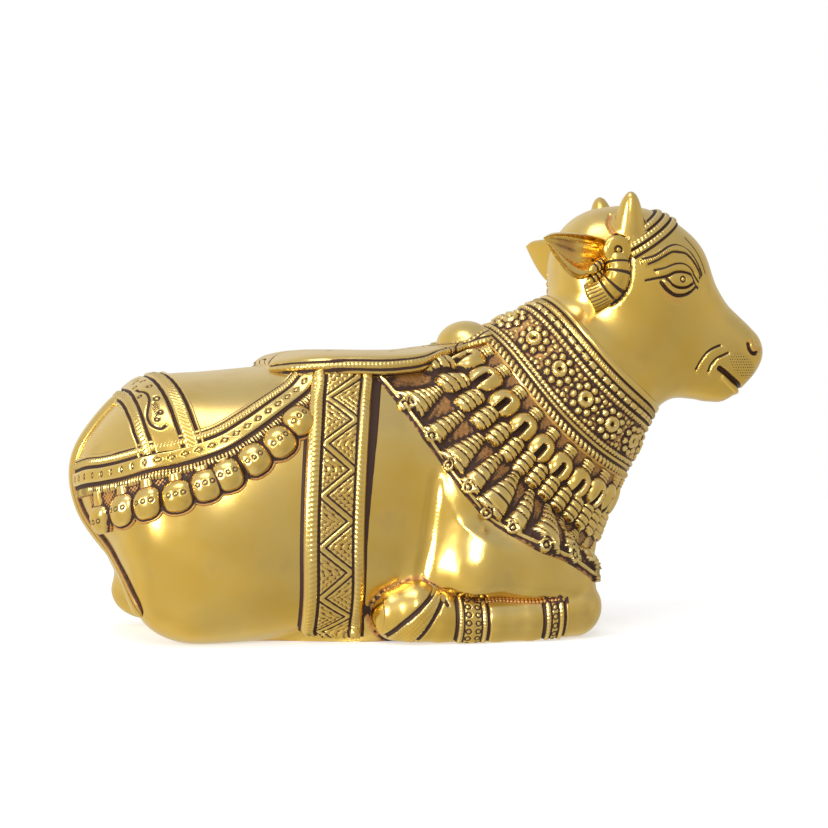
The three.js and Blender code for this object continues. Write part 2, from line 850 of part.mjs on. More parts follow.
// Anklets and hoof ring round a foreleg, square to its length
function anklet(side, x, width, lean = 0) {
  const outline = [
    [-width / 2, -SINK],
    [width / 2, -SINK],
    [width / 2, ANKLET_RELIEF],
    [-width / 2, ANKLET_RELIEF],
  ];
  const centre = mirrored(side, [x, 51, 10.4]);
  return band(outline, 9, (t, across, height) => {
    const angle = 2 * Math.PI * t;
    const outward = new THREE.Vector3(0, Math.cos(angle), Math.sin(angle));
    const inner = centre.clone();
    inner.x += across + lean * PART * Math.sin(angle);
    return skinPoint(inner, outward, 14 * PART).addScaledVector(outward, height);
  }, true);
}

function ground() {
  const size = 4 * LENGTH;
  const block = new THREE.BoxGeometry(size, size, size);
  block.translate(0, 0, size / 2);
  return solidFromGeometry(block);
}

function bull() {
  const sides = [1, -1];
  const flesh = [body.solid(22), saddleSeat.solid(10), neck.solid(18), head.solid(18)];
  flesh.push(saddle.solid(14), hump.solid(10, 6), tail.solid(6));
  for (const side of sides) {
    flesh.push(haunch(side).solid(12, 6), heel(side).solid(8, 6));
    flesh.push(upperArm(side).solid(9), shank(side).solid(9), horn(side).solid(6), ear(side));
  }
  const relief = [collar(), ...rosettes(), ...horseshoes(), ...barrels(), ...bells(), browBand()];
  for (const side of sides) {
    relief.push(border(side), ...drops(side), girth(side), rumpStrap(side), ...earDrop(side));
    relief.push(...eye(side), browRidge(side));
    relief.push(anklet(side, -15, HOOF_RING_WIDTH, -2), anklet(side, 4, ANKLET_WIDTH));
  }
  const cuts = join(sides.flatMap(muzzleCuts));
  return join([...flesh, ...relief]).subtract(cuts).intersect(ground());
}

function meshFrom(name, solid, material) {
  const { vertProperties, triVerts } = solid.getMesh();
  const geometry = new THREE.BufferGeometry();
  geometry.setAttribute("position", new THREE.BufferAttribute(vertProperties, 3));
  geometry.setIndex(new THREE.BufferAttribute(triVerts, 1));
  const mesh = new THREE.Mesh(geometry, material);
  mesh.name = name;
  return mesh;
}

const brass = new THREE.MeshStandardMaterial({ color: 0xd9b25a, roughness: 0.28, metalness: 1 });

const group = new THREE.Group();
group.add(meshFrom("nandi_bull", bull(), brass));

export default group;
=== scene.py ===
import math

import bpy
import numpy as np
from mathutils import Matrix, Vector


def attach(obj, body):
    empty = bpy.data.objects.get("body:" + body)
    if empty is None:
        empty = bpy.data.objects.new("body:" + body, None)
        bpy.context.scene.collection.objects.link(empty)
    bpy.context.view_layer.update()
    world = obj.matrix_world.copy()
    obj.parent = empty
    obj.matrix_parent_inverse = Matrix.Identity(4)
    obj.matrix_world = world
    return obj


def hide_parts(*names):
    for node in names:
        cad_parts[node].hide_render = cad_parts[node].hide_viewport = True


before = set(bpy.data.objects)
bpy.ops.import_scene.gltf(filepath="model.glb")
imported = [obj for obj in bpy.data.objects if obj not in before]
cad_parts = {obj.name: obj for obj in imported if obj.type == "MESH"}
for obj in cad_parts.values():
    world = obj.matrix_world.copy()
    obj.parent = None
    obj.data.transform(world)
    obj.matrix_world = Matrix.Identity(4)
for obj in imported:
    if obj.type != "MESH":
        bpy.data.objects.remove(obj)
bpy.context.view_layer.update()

NODE = "nandi_bull"

# The figure is drawn in millimetres and made in metres
MM = 0.001
SIDE_NAMES = {-1: "right", 1: "left"}
PIECES = []


# Curves

def bend(places, values):
    """Smooth curve through the values, carried straight on past its ends."""
    places = np.asarray(places, float)
    values = np.asarray(values, float)
    gap = np.diff(places)
    grade = np.diff(values) / gap
    tangent = np.empty_like(values)
    tangent[0] = grade[0]
    tangent[-1] = grade[-1]
    tangent[1:-1] = (grade[:-1] * gap[1:] + grade[1:] * gap[:-1]) / (gap[1:] + gap[:-1])

    def at(x):
        x = np.asarray(x, float)
        i = np.clip(np.searchsorted(places, x) - 1, 0, len(places) - 2)
        t = (x - places[i]) / gap[i]
        inner = np.clip(t, 0, 1)
        rise = inner * inner * (3 - 2 * inner)
        start = (inner ** 3 - 2 * inner ** 2 + inner) * gap[i] * tangent[i]
        end = (inner ** 3 - inner ** 2) * gap[i] * tangent[i + 1]
        value = values[i] * (1 - rise) + values[i + 1] * rise + start + end
        value = value + np.where(t > 1, (t - 1) * gap[i] * tangent[-1], 0)
        return value + np.where(t < 0, t * gap[i] * tangent[0], 0)

    return at


def ease(low, high, x):
    t = np.clip((x - low) / (high - low), 0, 1)
    return t * t * (3 - 2 * t)


def blended(a, b, reach):
    """Lower of two fields, rounded where they meet."""
    near = np.maximum(reach - np.abs(a - b), 0) / reach
    return np.minimum(a, b) - near * near * reach * 0.25


def unit(v):
    """Directions of the vectors in the last axis."""
    return v / np.maximum(np.linalg.norm(v, axis=-1, keepdims=True), 1e-9)


def run_along(points):
    """Distance run from the first point, along the first axis."""
    steps = np.linalg.norm(np.diff(points, axis=0), axis=-1)
    return np.concatenate([0 * steps[:1], np.cumsum(steps, 0)])


def off_nearest(s, pitch):
    """Distance from the nearest whole pitch."""
    return (s / pitch - np.round(s / pitch)) * pitch


def ripple(s, pitch):
    """One at each whole pitch, minus one halfway between."""
    return np.cos(2 * np.pi * s / pitch)


def full_turn(count):
    """Angles of so many even steps round a circle."""
    return np.arange(count) * 2 * np.pi / count


# Forms of the animal: each gives roughly the distance from its surface, negative inside

class Loft:
    """Sections across a straight line in the middle plane.
    Rows: place along the line, top, bottom, widest level, half the width."""

    STEP = 0.2
    MARGIN = 40

    def __init__(self, origin, toward, power, rows, reach):
        self.origin = origin
        length = math.hypot(*toward)
        self.along = (toward[0] / length, toward[1] / length)
        self.power = power
        self.reach = reach
        rows = np.array(rows, float)
        wide = rows[rows[:, 4] > 0]
        self.places = np.arange(rows[0, 0] - self.MARGIN, rows[-1, 0] + self.MARGIN, self.STEP)
        held = np.clip(self.places, wide[0, 0], wide[-1, 0])
        self.level = bend(rows[:, 0], rows[:, 3])(self.places)
        self.square = bend(rows[:, 0], rows[:, 4] ** 2)(self.places)
        self.above = bend(wide[:, 0], (wide[:, 1] - wide[:, 3]) / wide[:, 4])(held)
        self.below = bend(wide[:, 0], (wide[:, 3] - wide[:, 2]) / wide[:, 4])(held)
        self.level_slope = np.gradient(self.level, self.STEP)
        self.square_slope = np.gradient(self.square, self.STEP)

    def __call__(self, p):
        x = p[:, 0] - self.origin[0]
        z = p[:, 2] - self.origin[1]
        place = x * self.along[0] + z * self.along[1]
        found = lambda table: np.interp(place, self.places, table)
        rise = z * self.along[0] - x * self.along[1] - found(self.level)
        ratio = np.where(rise > 0, found(self.above), found(self.below))
        power = self.power
        across = np.abs(p[:, 1])
        up = np.abs(rise) / ratio
        radius = np.maximum((across ** power + up ** power) ** (1 / power), 1e-3)
        pull = 2 * radius * (across / radius) ** (power - 1)
        lift = 2 * radius * (up / radius) ** (power - 1) / ratio
        run = lift * np.sign(rise) * found(self.level_slope) + found(self.square_slope)
        steep = np.sqrt(pull * pull + lift * lift + run * run)
        return (radius * radius - found(self.square)) / np.maximum(steep, 1)


class Lump:
    """Rounded lump, turned about Y by pitch degrees."""

    def __init__(self, centre, radii, pitch, reach):
        self.centre = np.array(centre, float)
        self.radii = np.array(radii, float)
        self.turn = math.radians(pitch)
        self.reach = reach

    def __call__(self, p):
        q = p - self.centre
        c, s = math.cos(self.turn), math.sin(self.turn)
        q = np.stack([q[:, 0] * c + q[:, 2] * s, q[:, 1], q[:, 2] * c - q[:, 0] * s], 1)
        size = np.sqrt(((q / self.radii) ** 2).sum(1))
        steep = np.sqrt(((q / self.radii ** 2) ** 2).sum(1))
        return size * (size - 1) / np.maximum(steep, 1e-6)


class Limb:
    """Round sections along a bent line, rounded by inner at its bends. Rows: x, y, z, radius."""

    def __init__(self, rows, reach, inner=1.2):
        rows = np.array(rows, float)
        self.points = rows[:, :3]
        self.radii = rows[:, 3]
        self.reach = reach
        self.inner = inner

    def __call__(self, p):
        found = None
        for i in range(len(self.radii) - 1):
            start = self.points[i]
            span = self.points[i + 1] - start
            t = np.clip((p - start) @ span / (span @ span), 0, 1)
            gap = np.sqrt(((p - start - t[:, None] * span) ** 2).sum(1))
            gap -= self.radii[i] + (self.radii[i + 1] - self.radii[i]) * t
            found = gap if found is None else blended(found, gap, self.inner)
        return found


class Spike:
    """Round sections along a straight line. Rows: place along the line and the radius."""

    STEP = 0.1
    MARGIN = 20

    def __init__(self, start, toward, rows, reach):
        self.start = np.array(start, float)
        self.along = np.array(toward, float) / math.dist(toward, (0, 0, 0))
        rows = np.array(rows, float)
        self.places = np.arange(rows[0, 0] - self.MARGIN, rows[-1, 0] + self.MARGIN, self.STEP)
        self.square = bend(rows[:, 0], rows[:, 1] ** 2)(self.places)
        self.square_slope = np.gradient(self.square, self.STEP)
        self.reach = reach

    def __call__(self, p):
        q = p - self.start
        place = q @ self.along
        radial = np.maximum((q * q).sum(1) - place * place, 0)
        run = np.interp(place, self.places, self.square_slope)
        steep = np.sqrt(4 * radial + run * run)
        return (radial - np.interp(place, self.places, self.square)) / np.maximum(steep, 1)


def sides(make):
    """The same form on the right and on the left."""
    return [make(-1), make(1)]


BODY = Loft((0, 0), (1, 0), 2.6, [
    (-146, 66, 66, 66, 0),
    (-143.5, 77, 52, 65, 18),
    (-138, 85.4, 42, 62, 28),
    (-130, 94.6, 31, 58, 38),
    (-121, 102.8, 17, 54, 46),
    (-110, 105.8, 6, 50, 50),
    (-95, 107, -0.5, 47, 54),
    (-70, 109.2, -1.5, 46, 56.5),
    (-40, 112, -1.5, 46, 55),
    (-10, 113, -2, 47, 51),
    (20, 112, -2, 48, 47),
    (42, 104, -1, 50, 39),
    (58, 88, 12, 50, 28),
    (72, 50, 50, 50, 0),
], 6)
SLANT = math.sqrt(0.5)
NECK_FOOT = (41, 77)
NECK = Loft(NECK_FOOT, (1, 1), 2, [
    (-40, 40, -60, -8, 44),
    (-15, 52, -54.5, -5, 43.5),
    (0, 54, -49, -3, 41),
    (12, 50, -44.8, -2, 38),
    (24, 44, -41, -1, 35.4),
    (34, 40.4, -37.6, 0, 32.6),
    (44, 37, -34.5, 0, 30.2),
    (54, 33, -32, 0, 28),
    (66, 26, -28, 0, 25),
    (80, 10, -14, 0, 10),
    (84, 0, 0, 0, 0),
], 6)
HEAD = Loft((56, 160), (96, -52), 2.3, [
    (0, 3, 3, 3, 0),
    (5, 18, -12, 3, 14),
    (15, 27, -26, 0, 21),
    (31, 33.5, -37, -2, 26),
    (45, 33.5, -42, -4, 27),
    (57, 30, -42.5, -7, 25),
    (70, 19.5, -38.5, -9, 21),
    (78.5, 15, -31.5, -8, 18),
    (86, 13, -28, -7, 16.5),
    (93, 11.3, -25.5, -6.5, 15.5),
    (99, 9, -21, -5, 13.5),
    (103, 5, -11, -2.5, 8.5),
    (105, -2, -2, -2, 0),
], 5)
SADDLE = Loft((0, 0), (1, 0), 3, [
    (-71, 107, 107, 107, 0),
    (-70, 109.2, 104, 107.2, 15),
    (-66.5, 111.8, 102.4, 107.8, 26),
    (-60.5, 113.6, 102.2, 108.4, 34),
    (-52, 114.6, 102.6, 109, 38.4),
    (-40, 114.8, 103.4, 109.4, 40),
    (-21, 114.6, 104, 109.8, 40),
    (-10, 114.8, 105.4, 111.2, 37),
    (-2, 115.8, 108, 113.4, 28.5),
    (12, 118.2, 111.2, 116.2, 17),
    (26, 123, 112, 119, 14),
    (30, 118, 118, 118, 0),
], 0.8)
SEAT = Loft((0, 0), (1, 0), 3, [
    (-70, 99, 99, 99, 0),
    (-64, 109, 88, 99, 32.5),
    (-56, 111, 84, 99, 38),
    (-30, 112, 84, 99, 38.5),
    (-12, 112, 84, 99, 36),
    (4, 112, 84, 99, 30),
    (10, 99, 99, 99, 0),
], 5)
HUMP = Lump((16.5, 0, 118.2), (10.5, 11, 8.4), 12, 2)
HAUNCHES = sides(lambda side: Lump((-88, 29 * side, 40), (42, 27, 38), 0, 9))
HEELS = [Lump((-106, -31, 16), (17, 13, 13), 0, 12), Lump((-111, 34, 15), (16.5, 12, 12.6), 0, 5)]
ARMS = sides(lambda side: Limb([
    (8, 36 * side, 58, 20),
    (27, 40 * side, 38, 16),
    (44, 43 * side, 22, 13),
], 4, 8))
LAPS = sides(lambda side: Limb([
    (-5, 42 * side, 31, 10),
    (8, 46 * side, 27.5, 13),
    (28, 46.5 * side, 27.5, 13.5),
    (44, 44 * side, 22, 13),
], 10, 8))
SHANKS = sides(lambda side: Limb([
    (-24, 48 * side, 11.5, 10.6),
    (-17, 49 * side, 12.5, 12.2),
    (-8, 50.5 * side, 10.5, 10.4),
    (2, 51.8 * side, 8.8, 8.8),
    (14, 52.4 * side, 8.2, 8.4),
    (28, 52 * side, 8.4, 8.6),
    (48.6, 47 * side, 12.4, 12.4),
], 1))
HORNS = sides(lambda side: Spike((83.8, 14.6 * side, 160), (-0.7, 5.6 * side, 19.5), [
    (-7, 0),
    (0, 7.8),
    (5, 7.3),
    (9.5, 6.5),
    (13.5, 5.4),
    (17.2, 4.2),
    (20.2, 2.9),
    (22.6, 0),
], 2))

TRUNK = [BODY, SEAT, NECK, HEAD, *HAUNCHES, *HEELS, *ARMS, *LAPS]
FLESH = [*TRUNK, *SHANKS]
WHOLE = [*FLESH, *HORNS, HUMP, SADDLE]


def field(p, forms=WHOLE):
    """The forms joined, each rounded by its own reach where it meets those before it."""
    found = None
    for form in forms:
        value = form(p)
        found = value if found is None else blended(found, value, form.reach)
    return found


def field_over(lattice, forms):
    """Value of the field at every point of a lattice."""
    return field(lattice.reshape(-1, 3), forms).reshape(lattice.shape[:-1])


def slope(p, forms=WHOLE, step=0.15):
    """Value of the field and its direction of rise."""
    here = field(p, forms)
    rise = np.stack([field(p + step * axis, forms) - here for axis in np.eye(3)], 1) / step
    return here, rise


def settle(p, rounds=2, forms=WHOLE):
    """Points moved onto the surface, and its outward directions."""
    for _ in range(rounds):
        here, rise = slope(p, forms)
        square = np.maximum((rise ** 2).sum(1), 0.05)
        p = p - np.clip(here / square, -1, 1)[:, None] * rise
    return p, unit(slope(p, forms)[1])


# Skin of the animal: the surface where its field is nothing

def skin_of_grid(low, high, step):
    """Quads of the zero surface of the field over a grid, each vertex in one cell."""
    axes = [np.arange(low[i], high[i] + step, step) for i in range(3)]
    shape = tuple(len(axis) for axis in axes)
    grid = np.stack(np.meshgrid(*axes, indexing="ij"), -1).reshape(-1, 3)
    value = np.concatenate([field(part) for part in np.array_split(grid, 12)])
    value = np.maximum(value, -grid[:, 2]).reshape(shape)
    inside = value < 0
    cells = sum(
        inside[i:shape[0] - 1 + i, j:shape[1] - 1 + j, k:shape[2] - 1 + k].astype(int)
        for i in (0, 1) for j in (0, 1) for k in (0, 1)
    )
    live = (cells > 0) & (cells < 8)
    places = np.argwhere(live)
    number = np.full(live.shape, -1)
    number[live] = np.arange(len(places))
    total = np.zeros((len(places), 3))
    count = np.zeros(len(places))
    for axis in range(3):
        step_on = np.eye(3, dtype=int)[axis]
        others = [other for other in range(3) if other != axis]
        for first in (0, 1):
            for second in (0, 1):
                corner = places.copy()
                corner[:, others[0]] += first
                corner[:, others[1]] += second
                start = value[tuple(corner.T)]
                end = value[tuple((corner + step_on).T)]
                crossed = (start < 0) != (end < 0)
                share = np.where(crossed, start / np.where(crossed, start - end, 1), 0)
                total += (corner + share[:, None] * step_on) * crossed[:, None]
                count += crossed
    points = np.array(low) + step * total / count[:, None]
    quads = []
    for axis in range(3):
        second, third = (axis + 1) % 3, (axis + 2) % 3
        here = [slice(None)] * 3
        ahead = [slice(None)] * 3
        here[axis] = slice(0, shape[axis] - 1)
        ahead[axis] = slice(1, shape[axis])
        start = inside[tuple(here)]
        edge = np.argwhere(start != inside[tuple(ahead)])
        keep = (edge[:, second] > 0) & (edge[:, third] > 0)
        keep &= (edge[:, second] < shape[second] - 1) & (edge[:, third] < shape[third] - 1)
        edge = edge[keep]

        def cell(back_second, back_third):
            at = edge.copy()
            at[:, second] -= back_second
            at[:, third] -= back_third
            return number[tuple(at.T)]

        quad = np.stack([cell(0, 0), cell(1, 0), cell(1, 1), cell(0, 1)], 1)
        outward = start[tuple(edge.T)]
        quad[~outward] = quad[~outward][:, ::-1]
        quads.append(quad)
    return points, np.concatenate(quads)


def finer(points, faces, target, rounds, slack=1.35):
    """Triangles split wherever an edge is longer than its target by more than the slack."""
    for _ in range(rounds):
        pairs = np.stack([faces, np.roll(faces, -1, 1)], -1)
        low = pairs.min(-1).astype(np.int64)
        key = low * len(points) + pairs.max(-1)
        keys, where = np.unique(key.ravel(), return_inverse=True)
        first, last = keys // len(points), keys % len(points)
        middle = (points[first] + points[last]) / 2
        length = np.linalg.norm(points[first] - points[last], axis=1)
        split = length > slack * target(middle)
        if not split.any():
            break
        number = np.full(len(keys), -1)
        number[split] = len(points) + np.arange(split.sum())
        points = np.concatenate([points, middle[split]])
        halfway = number[where].reshape(faces.shape)
        count = (halfway >= 0).sum(1)
        done = [faces[count == 0]]
        three = count == 3
        a, b, c = faces[three].T
        ab, bc, ca = halfway[three].T
        done += [np.stack(t, 1) for t in ((a, ab, ca), (ab, b, bc), (ca, bc, c), (ab, bc, ca))]
        for turn in range(3):
            face, edge = np.roll(faces, -turn, 1), np.roll(halfway, -turn, 1)
            one = (count == 1) & (edge[:, 0] >= 0)
            a, b, c = face[one].T
            done += [np.stack(t, 1) for t in ((a, edge[one, 0], c), (edge[one, 0], b, c))]
            two = (count == 2) & (edge[:, 2] < 0)
            a, b, c = face[two].T
            ab, bc = edge[two, 0], edge[two, 1]
            done += [np.stack(t, 1) for t in ((ab, b, bc), (a, ab, bc), (a, bc, c))]
        faces = np.concatenate(done)
    return points, faces


def relaxed(points, faces, rounds, hold):
    """Vertices eased towards the middle of their neighbours, as far as each one's hold lets it."""
    pairs = np.concatenate([faces[:, [0, 1]], faces[:, [1, 2]], faces[:, [2, 0]]])
    pairs = np.concatenate([pairs, pairs[:, ::-1]])
    count = np.maximum(np.bincount(pairs[:, 0], minlength=len(points)), 1)
    for _ in range(rounds):
        mean = np.stack(
            [np.bincount(pairs[:, 0], points[pairs[:, 1], i], len(points)) for i in range(3)], 1
        ) / count[:, None]
        points = points + 0.5 * (mean - points) * hold[:, None]
    return points


# Laying points on the surface

def cast(inner, outward, forms, reach=80.0):
    """Outermost crossing of the flesh on rays from inner points."""
    shape = inner.shape
    inner = inner.reshape(-1, 3)
    outward = outward.reshape(-1, 3)
    distance = np.full(len(inner), float(reach))
    last = np.full(len(inner), 1.0)
    live = np.arange(len(inner))
    while len(live):
        value = field(inner[live] + distance[live, None] * outward[live], forms)
        out = (value > 0) & (distance[live] > 0)
        live, value = live[out], value[out]
        last[live] = np.maximum(0.4, 0.6 * value)
        distance[live] -= last[live]
    low, high = distance, distance + last
    for _ in range(9):
        middle = (low + high) / 2
        inside = field(inner + middle[:, None] * outward, forms) < 0
        low, high = np.where(inside, middle, low), np.where(inside, high, middle)
    return (inner + low[:, None] * outward).reshape(shape)


def between(lattice, at, axis_wraps=False):
    """Smooth values of a lattice at fractional places of its first axis.
    The places are one list, or one list for each column."""
    count = len(lattice)
    at = np.asarray(at, float)
    i = np.floor(at).astype(int)
    t = at - i
    if at.ndim == 1:
        pick = lambda k: lattice[(i + k) % count if axis_wraps else np.clip(i + k, 0, count - 1)]
        t = t.reshape((-1,) + (1,) * (lattice.ndim - 1))
    else:
        columns = np.arange(lattice.shape[1])[None, :]
        pick = lambda k: lattice[np.clip(i + k, 0, count - 1), columns]
        t = t[..., None]
    a, b, c, d = pick(-1), pick(0), pick(1), pick(2)
    return b + 0.5 * t * (c - a + t * (2 * a - 5 * b + 4 * c - d + t * (3 * (b - c) + d - a)))


def refined(lattice, rows, columns):
    """The lattice drawn out smoothly to more rows and columns."""
    wide = between(lattice, np.linspace(0, lattice.shape[0] - 1, rows))
    turned = between(np.swapaxes(wide, 0, 1), np.linspace(0, lattice.shape[1] - 1, columns))
    return np.swapaxes(turned, 0, 1)


def even_line(line, step):
    """Points at even steps along a smooth line."""
    line = np.array(line, float)
    dense = between(line, np.linspace(0, len(line) - 1, 40 * len(line)))
    run = run_along(dense)
    at = np.linspace(0, run[-1], max(2, int(round(run[-1] / step)) + 1))
    return np.stack([np.interp(at, run, dense[:, i]) for i in range(3)], 1)


def smooth_flat(line):
    """A smooth line in the plane through the given points."""
    line = np.array(line, float)
    return [tuple(at) for at in between(line, np.linspace(0, len(line) - 1, 5 * len(line)))]


def blurred(grid, spread, loop):
    """Gaussian blur, the spread given in samples for rows and columns."""
    for axis, width in enumerate(spread):
        half = max(1, int(round(2.5 * width)))
        total = 0
        weight = 0
        places = np.arange(grid.shape[axis])
        for shift in range(-half, half + 1):
            share = math.exp(-0.5 * (shift / width) ** 2)
            at = places + shift
            at = at % len(places) if loop and axis == 1 else np.clip(at, 0, len(places) - 1)
            total = total + share * np.take(grid, at, axis)
            weight += share
        grid = total / weight
    return grid


def directions(points, loop):
    """Steps along rows and columns of a sheet, and its outward directions."""
    if loop:
        along = (np.roll(points, -1, 1) - np.roll(points, 1, 1)) / 2
    else:
        along = np.gradient(points, axis=1)
    up = np.gradient(points, axis=0)
    return along, up, unit(np.cross(along, up))


# Ornament: marks and rounded forms in the flat of a sheet

def rounded(distance, half, height):
    """Half round over a line or a point, nothing beyond half a width."""
    return height * np.sqrt(np.clip(1 - (distance / half) ** 2, 0, 1))


def cut(distance, half):
    """One on a line, falling to nothing at half a width either side."""
    return np.clip(1 - (distance / half) ** 2, 0, 1)


def squarish(u, v, power):
    """Distance from the middle of a rounded square that has its sides at one."""
    return (np.abs(u) ** power + np.abs(v) ** power) ** (1 / power)


def to_line(u, v, start, end):
    """Signed distance from a straight line, positive on its right."""
    run = (end[0] - start[0], end[1] - start[1])
    return ((u - start[0]) * run[1] - (v - start[1]) * run[0]) / math.hypot(*run)


def to_polyline(u, v, line):
    """Distance to a bent line in the plane."""
    found = np.full(np.shape(u), 1e9)
    for (a, b), (c, d) in zip(line[:-1], line[1:]):
        span = (c - a, d - b)
        t = np.clip(((u - a) * span[0] + (v - b) * span[1]) / (span[0] ** 2 + span[1] ** 2), 0, 1)
        found = np.minimum(found, np.hypot(u - a - t * span[0], v - b - t * span[1]))
    return found


def bead_row(s, v, pitch, radius, height):
    """Round beads along s at v = 0."""
    return rounded(np.hypot(off_nearest(s, pitch), v), radius, height)


def rope_row(s, v, half, height, pitch, lean=1.0):
    """Twisted cord along s at v = 0."""
    turn = np.cos(2 * np.pi * (s / pitch + lean * v / (2 * half)))
    return rounded(v, half, height) * (0.72 + 0.28 * turn)


class Relief:
    """Height of the ornament at each point, and how dark and how warm the metal is there."""

    def __init__(self, shape, height=0.0):
        self.height = np.zeros(shape) + height
        self.dark = np.zeros(shape)
        self.warm = np.zeros(shape)

    def lay(self, form):
        """A form laid on: it shows where it is higher than what is there."""
        self.height = np.maximum(self.height, form)

    def carve(self, mark, depth, tone=0.0):
        """A mark cut in, and darkened where a tone is given."""
        self.height = self.height - depth * mark
        self.darken(tone * mark)

    def darken(self, tone):
        self.dark = np.maximum(self.dark, tone)


class Sheet:
    """A fine lattice of skin points, which the ornament raises."""

    NEAR = 0.8
    FAR = 2.4
    RIM_WIDTH = 0.9
    RIM_DEPTH = 1.2
    FLOOR_GAP = 0.3

    def __init__(self, name, points, loop):
        self.name = name
        self.points = points
        self.loop = loop
        self.along, self.up, self.out = directions(points, loop)
        self.turned = False
        self.step = [float(np.median(np.linalg.norm(steps, axis=-1))) for steps in (self.up, self.along)]

    def face(self, outward):
        """The sheet's outside turned to the given directions."""
        if (self.out * outward).sum() < 0:
            self.out = -self.out
            self.turned = True

    def raised(self, relief, edge):
        """The finished piece: edge is the distance in from the rim of the sheet, in mm.
        Darker and warmer where the relief is lower than what is round it: old grime and patina there, and
        painted shade."""
        height = relief.height
        spread = lambda size: (size / self.step[0], size / self.step[1])
        near = blurred(height, spread(self.NEAR), self.loop)
        far = blurred(height, spread(self.FAR), self.loop)
        # How shut in each point is: the dark and warm marks made from it are old grime and patina, and
        # painted shade in the hollows
        shut = (near - height) / self.NEAR + 0.8 * (far - height) / self.FAR
        rim = ease(0, self.RIM_WIDTH, edge)
        marks = {
            "dark": np.clip(np.maximum(ease(0.12, 0.62, shut), relief.dark), 0, 1),
            "warm": np.clip(np.maximum(ease(0.0, 0.35, shut), relief.warm), 0, 1),
            "worn": ease(0.04, 0.5, height - near) * rim,
        }
        lifted = height * rim - self.RIM_DEPTH * (1 - rim)
        points = self.points + self.out * lifted[..., None]
        points[..., 2] = np.maximum(points[..., 2], self.FLOOR_GAP)
        rows, columns = height.shape
        number = np.arange(rows * columns).reshape(rows, columns)
        if self.loop:
            number = np.concatenate([number, number[:, :1]], 1)
        corners = [number[:-1, :-1], number[:-1, 1:], number[1:, 1:], number[1:, :-1]]
        quads = np.stack(corners, -1).reshape(-1, 4)
        if self.turned:
            quads = quads[:, ::-1]
        return add_piece(self.name, points.reshape(-1, 3), quads, marks)


def add_piece(name, points, faces, marks, outward=None):
    """A mesh object of the figure with its tone marks."""
    mesh = bpy.data.meshes.new(name)
    corners = faces.shape[1]
    mesh.vertices.add(len(points))
    mesh.vertices.foreach_set("co", (points * MM).astype(np.float32).ravel())
    mesh.loops.add(faces.size)
    mesh.loops.foreach_set("vertex_index", faces.astype(np.int32).ravel())
    mesh.polygons.add(len(faces))
    mesh.polygons.foreach_set("loop_start", np.arange(0, faces.size, corners, dtype=np.int32))
    mesh.polygons.foreach_set("use_smooth", np.ones(len(faces), bool))
    mesh.update(calc_edges=True)
    for mark in ("dark", "warm", "worn"):
        value = marks.get(mark, np.zeros(len(points))).ravel().astype(np.float32)
        mesh.attributes.new(mark, "FLOAT", "POINT").data.foreach_set("value", value)
    if outward is not None:
        mesh.normals_split_custom_set_from_vertices(outward.tolist())
    piece = bpy.data.objects.new(name, mesh)
    bpy.context.scene.collection.objects.link(piece)
    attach(piece, "root")
    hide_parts(NODE)
    PIECES.append(piece)
    return piece


def tube_faces(rows, columns):
    """Triangles between rings of points, each ring closed, the last one shut."""
    number = np.arange(rows * columns).reshape(rows, columns)
    number = np.concatenate([number, number[:, :1]], 1)
    a, b, c, d = number[:-1, :-1], number[:-1, 1:], number[1:, 1:], number[1:, :-1]
    sides = np.concatenate([np.stack([a, b, c], -1).reshape(-1, 3), np.stack([a, c, d], -1).reshape(-1, 3)])
    last = number[-1, :-1]
    cap = np.stack([np.full(columns - 2, last[0]), last[1:-1], last[2:]], 1)
    return np.concatenate([sides, cap])


def facing_out(points, faces):
    """The same triangles, turned so that the closed form they make is not inside out."""
    a, b, c = points[faces[:, 0]], points[faces[:, 1]], points[faces[:, 2]]
    volume = (np.cross(b - a, c - a) * (a - points.mean(0))).sum()
    return faces if volume > 0 else faces[:, ::-1]


def add_tube(name, points, marks):
    """A closed form made of rings of points, one ring to a row."""
    rows, columns = points.shape[:2]
    points = points.reshape(-1, 3)
    return add_piece(name, points, facing_out(points, tube_faces(rows, columns)), marks)


# Round the neck: distance up it from its foot, and degrees from the nape, down the right side first

NECK_FLESH = [form for form in FLESH if form is not HEAD]
NECK_ROWS = np.arange(-48, 57, 2.0)
NECK_TURNS = 120


def neck_lattice():
    """Points of the skin round the neck, laid out by NECK_ROWS and by angle."""
    turn = full_turn(NECK_TURNS)[:, None]
    outward = np.cos(turn) * (-SLANT, 0, SLANT) + np.sin(turn) * (0, -1, 0)
    foot = np.array([NECK_FOOT[0], 0, NECK_FOOT[1]])
    inner = foot + NECK_ROWS[:, None, None] * np.array([SLANT, 0, SLANT]) + 0 * outward
    return cast(inner, np.broadcast_to(outward, inner.shape), NECK_FLESH)


def neck_sheet(name, lattice, low, high, rows, columns):
    """Sheet between two edges that are functions of the angle."""
    turns = np.arange(columns) * NECK_TURNS / columns
    turned = np.swapaxes(between(np.swapaxes(lattice, 0, 1), turns, True), 0, 1)
    angle = np.arange(columns) * 360 / columns
    share = np.linspace(0, 1, rows)[:, None]
    place = low(angle) * (1 - share) + high(angle) * share
    index = (place - NECK_ROWS[0]) / (NECK_ROWS[1] - NECK_ROWS[0])
    points = between(turned, index)
    points = settle(points.reshape(-1, 3), 2, NECK_FLESH)[0].reshape(points.shape)
    sheet = Sheet(name, points, True)
    sheet.angle = np.broadcast_to(angle, place.shape)
    sheet.place = place
    sheet.per_degree = np.linalg.norm(sheet.along, axis=-1) * columns / 360
    return sheet


def folded(angle):
    """Angle from the nape, the same on both sides."""
    angle = np.mod(angle, 360)
    return np.minimum(angle, 360 - angle)


def droop(side, more, angle, front=0):
    """Place up the neck of a row: at the side, how much higher at nape and throat, and at the front."""
    return side + more * np.cos(np.radians(angle)) ** 2 + front * ease(112, 172, folded(angle))


# Collar: the levels of its rows are distances above its lower edge

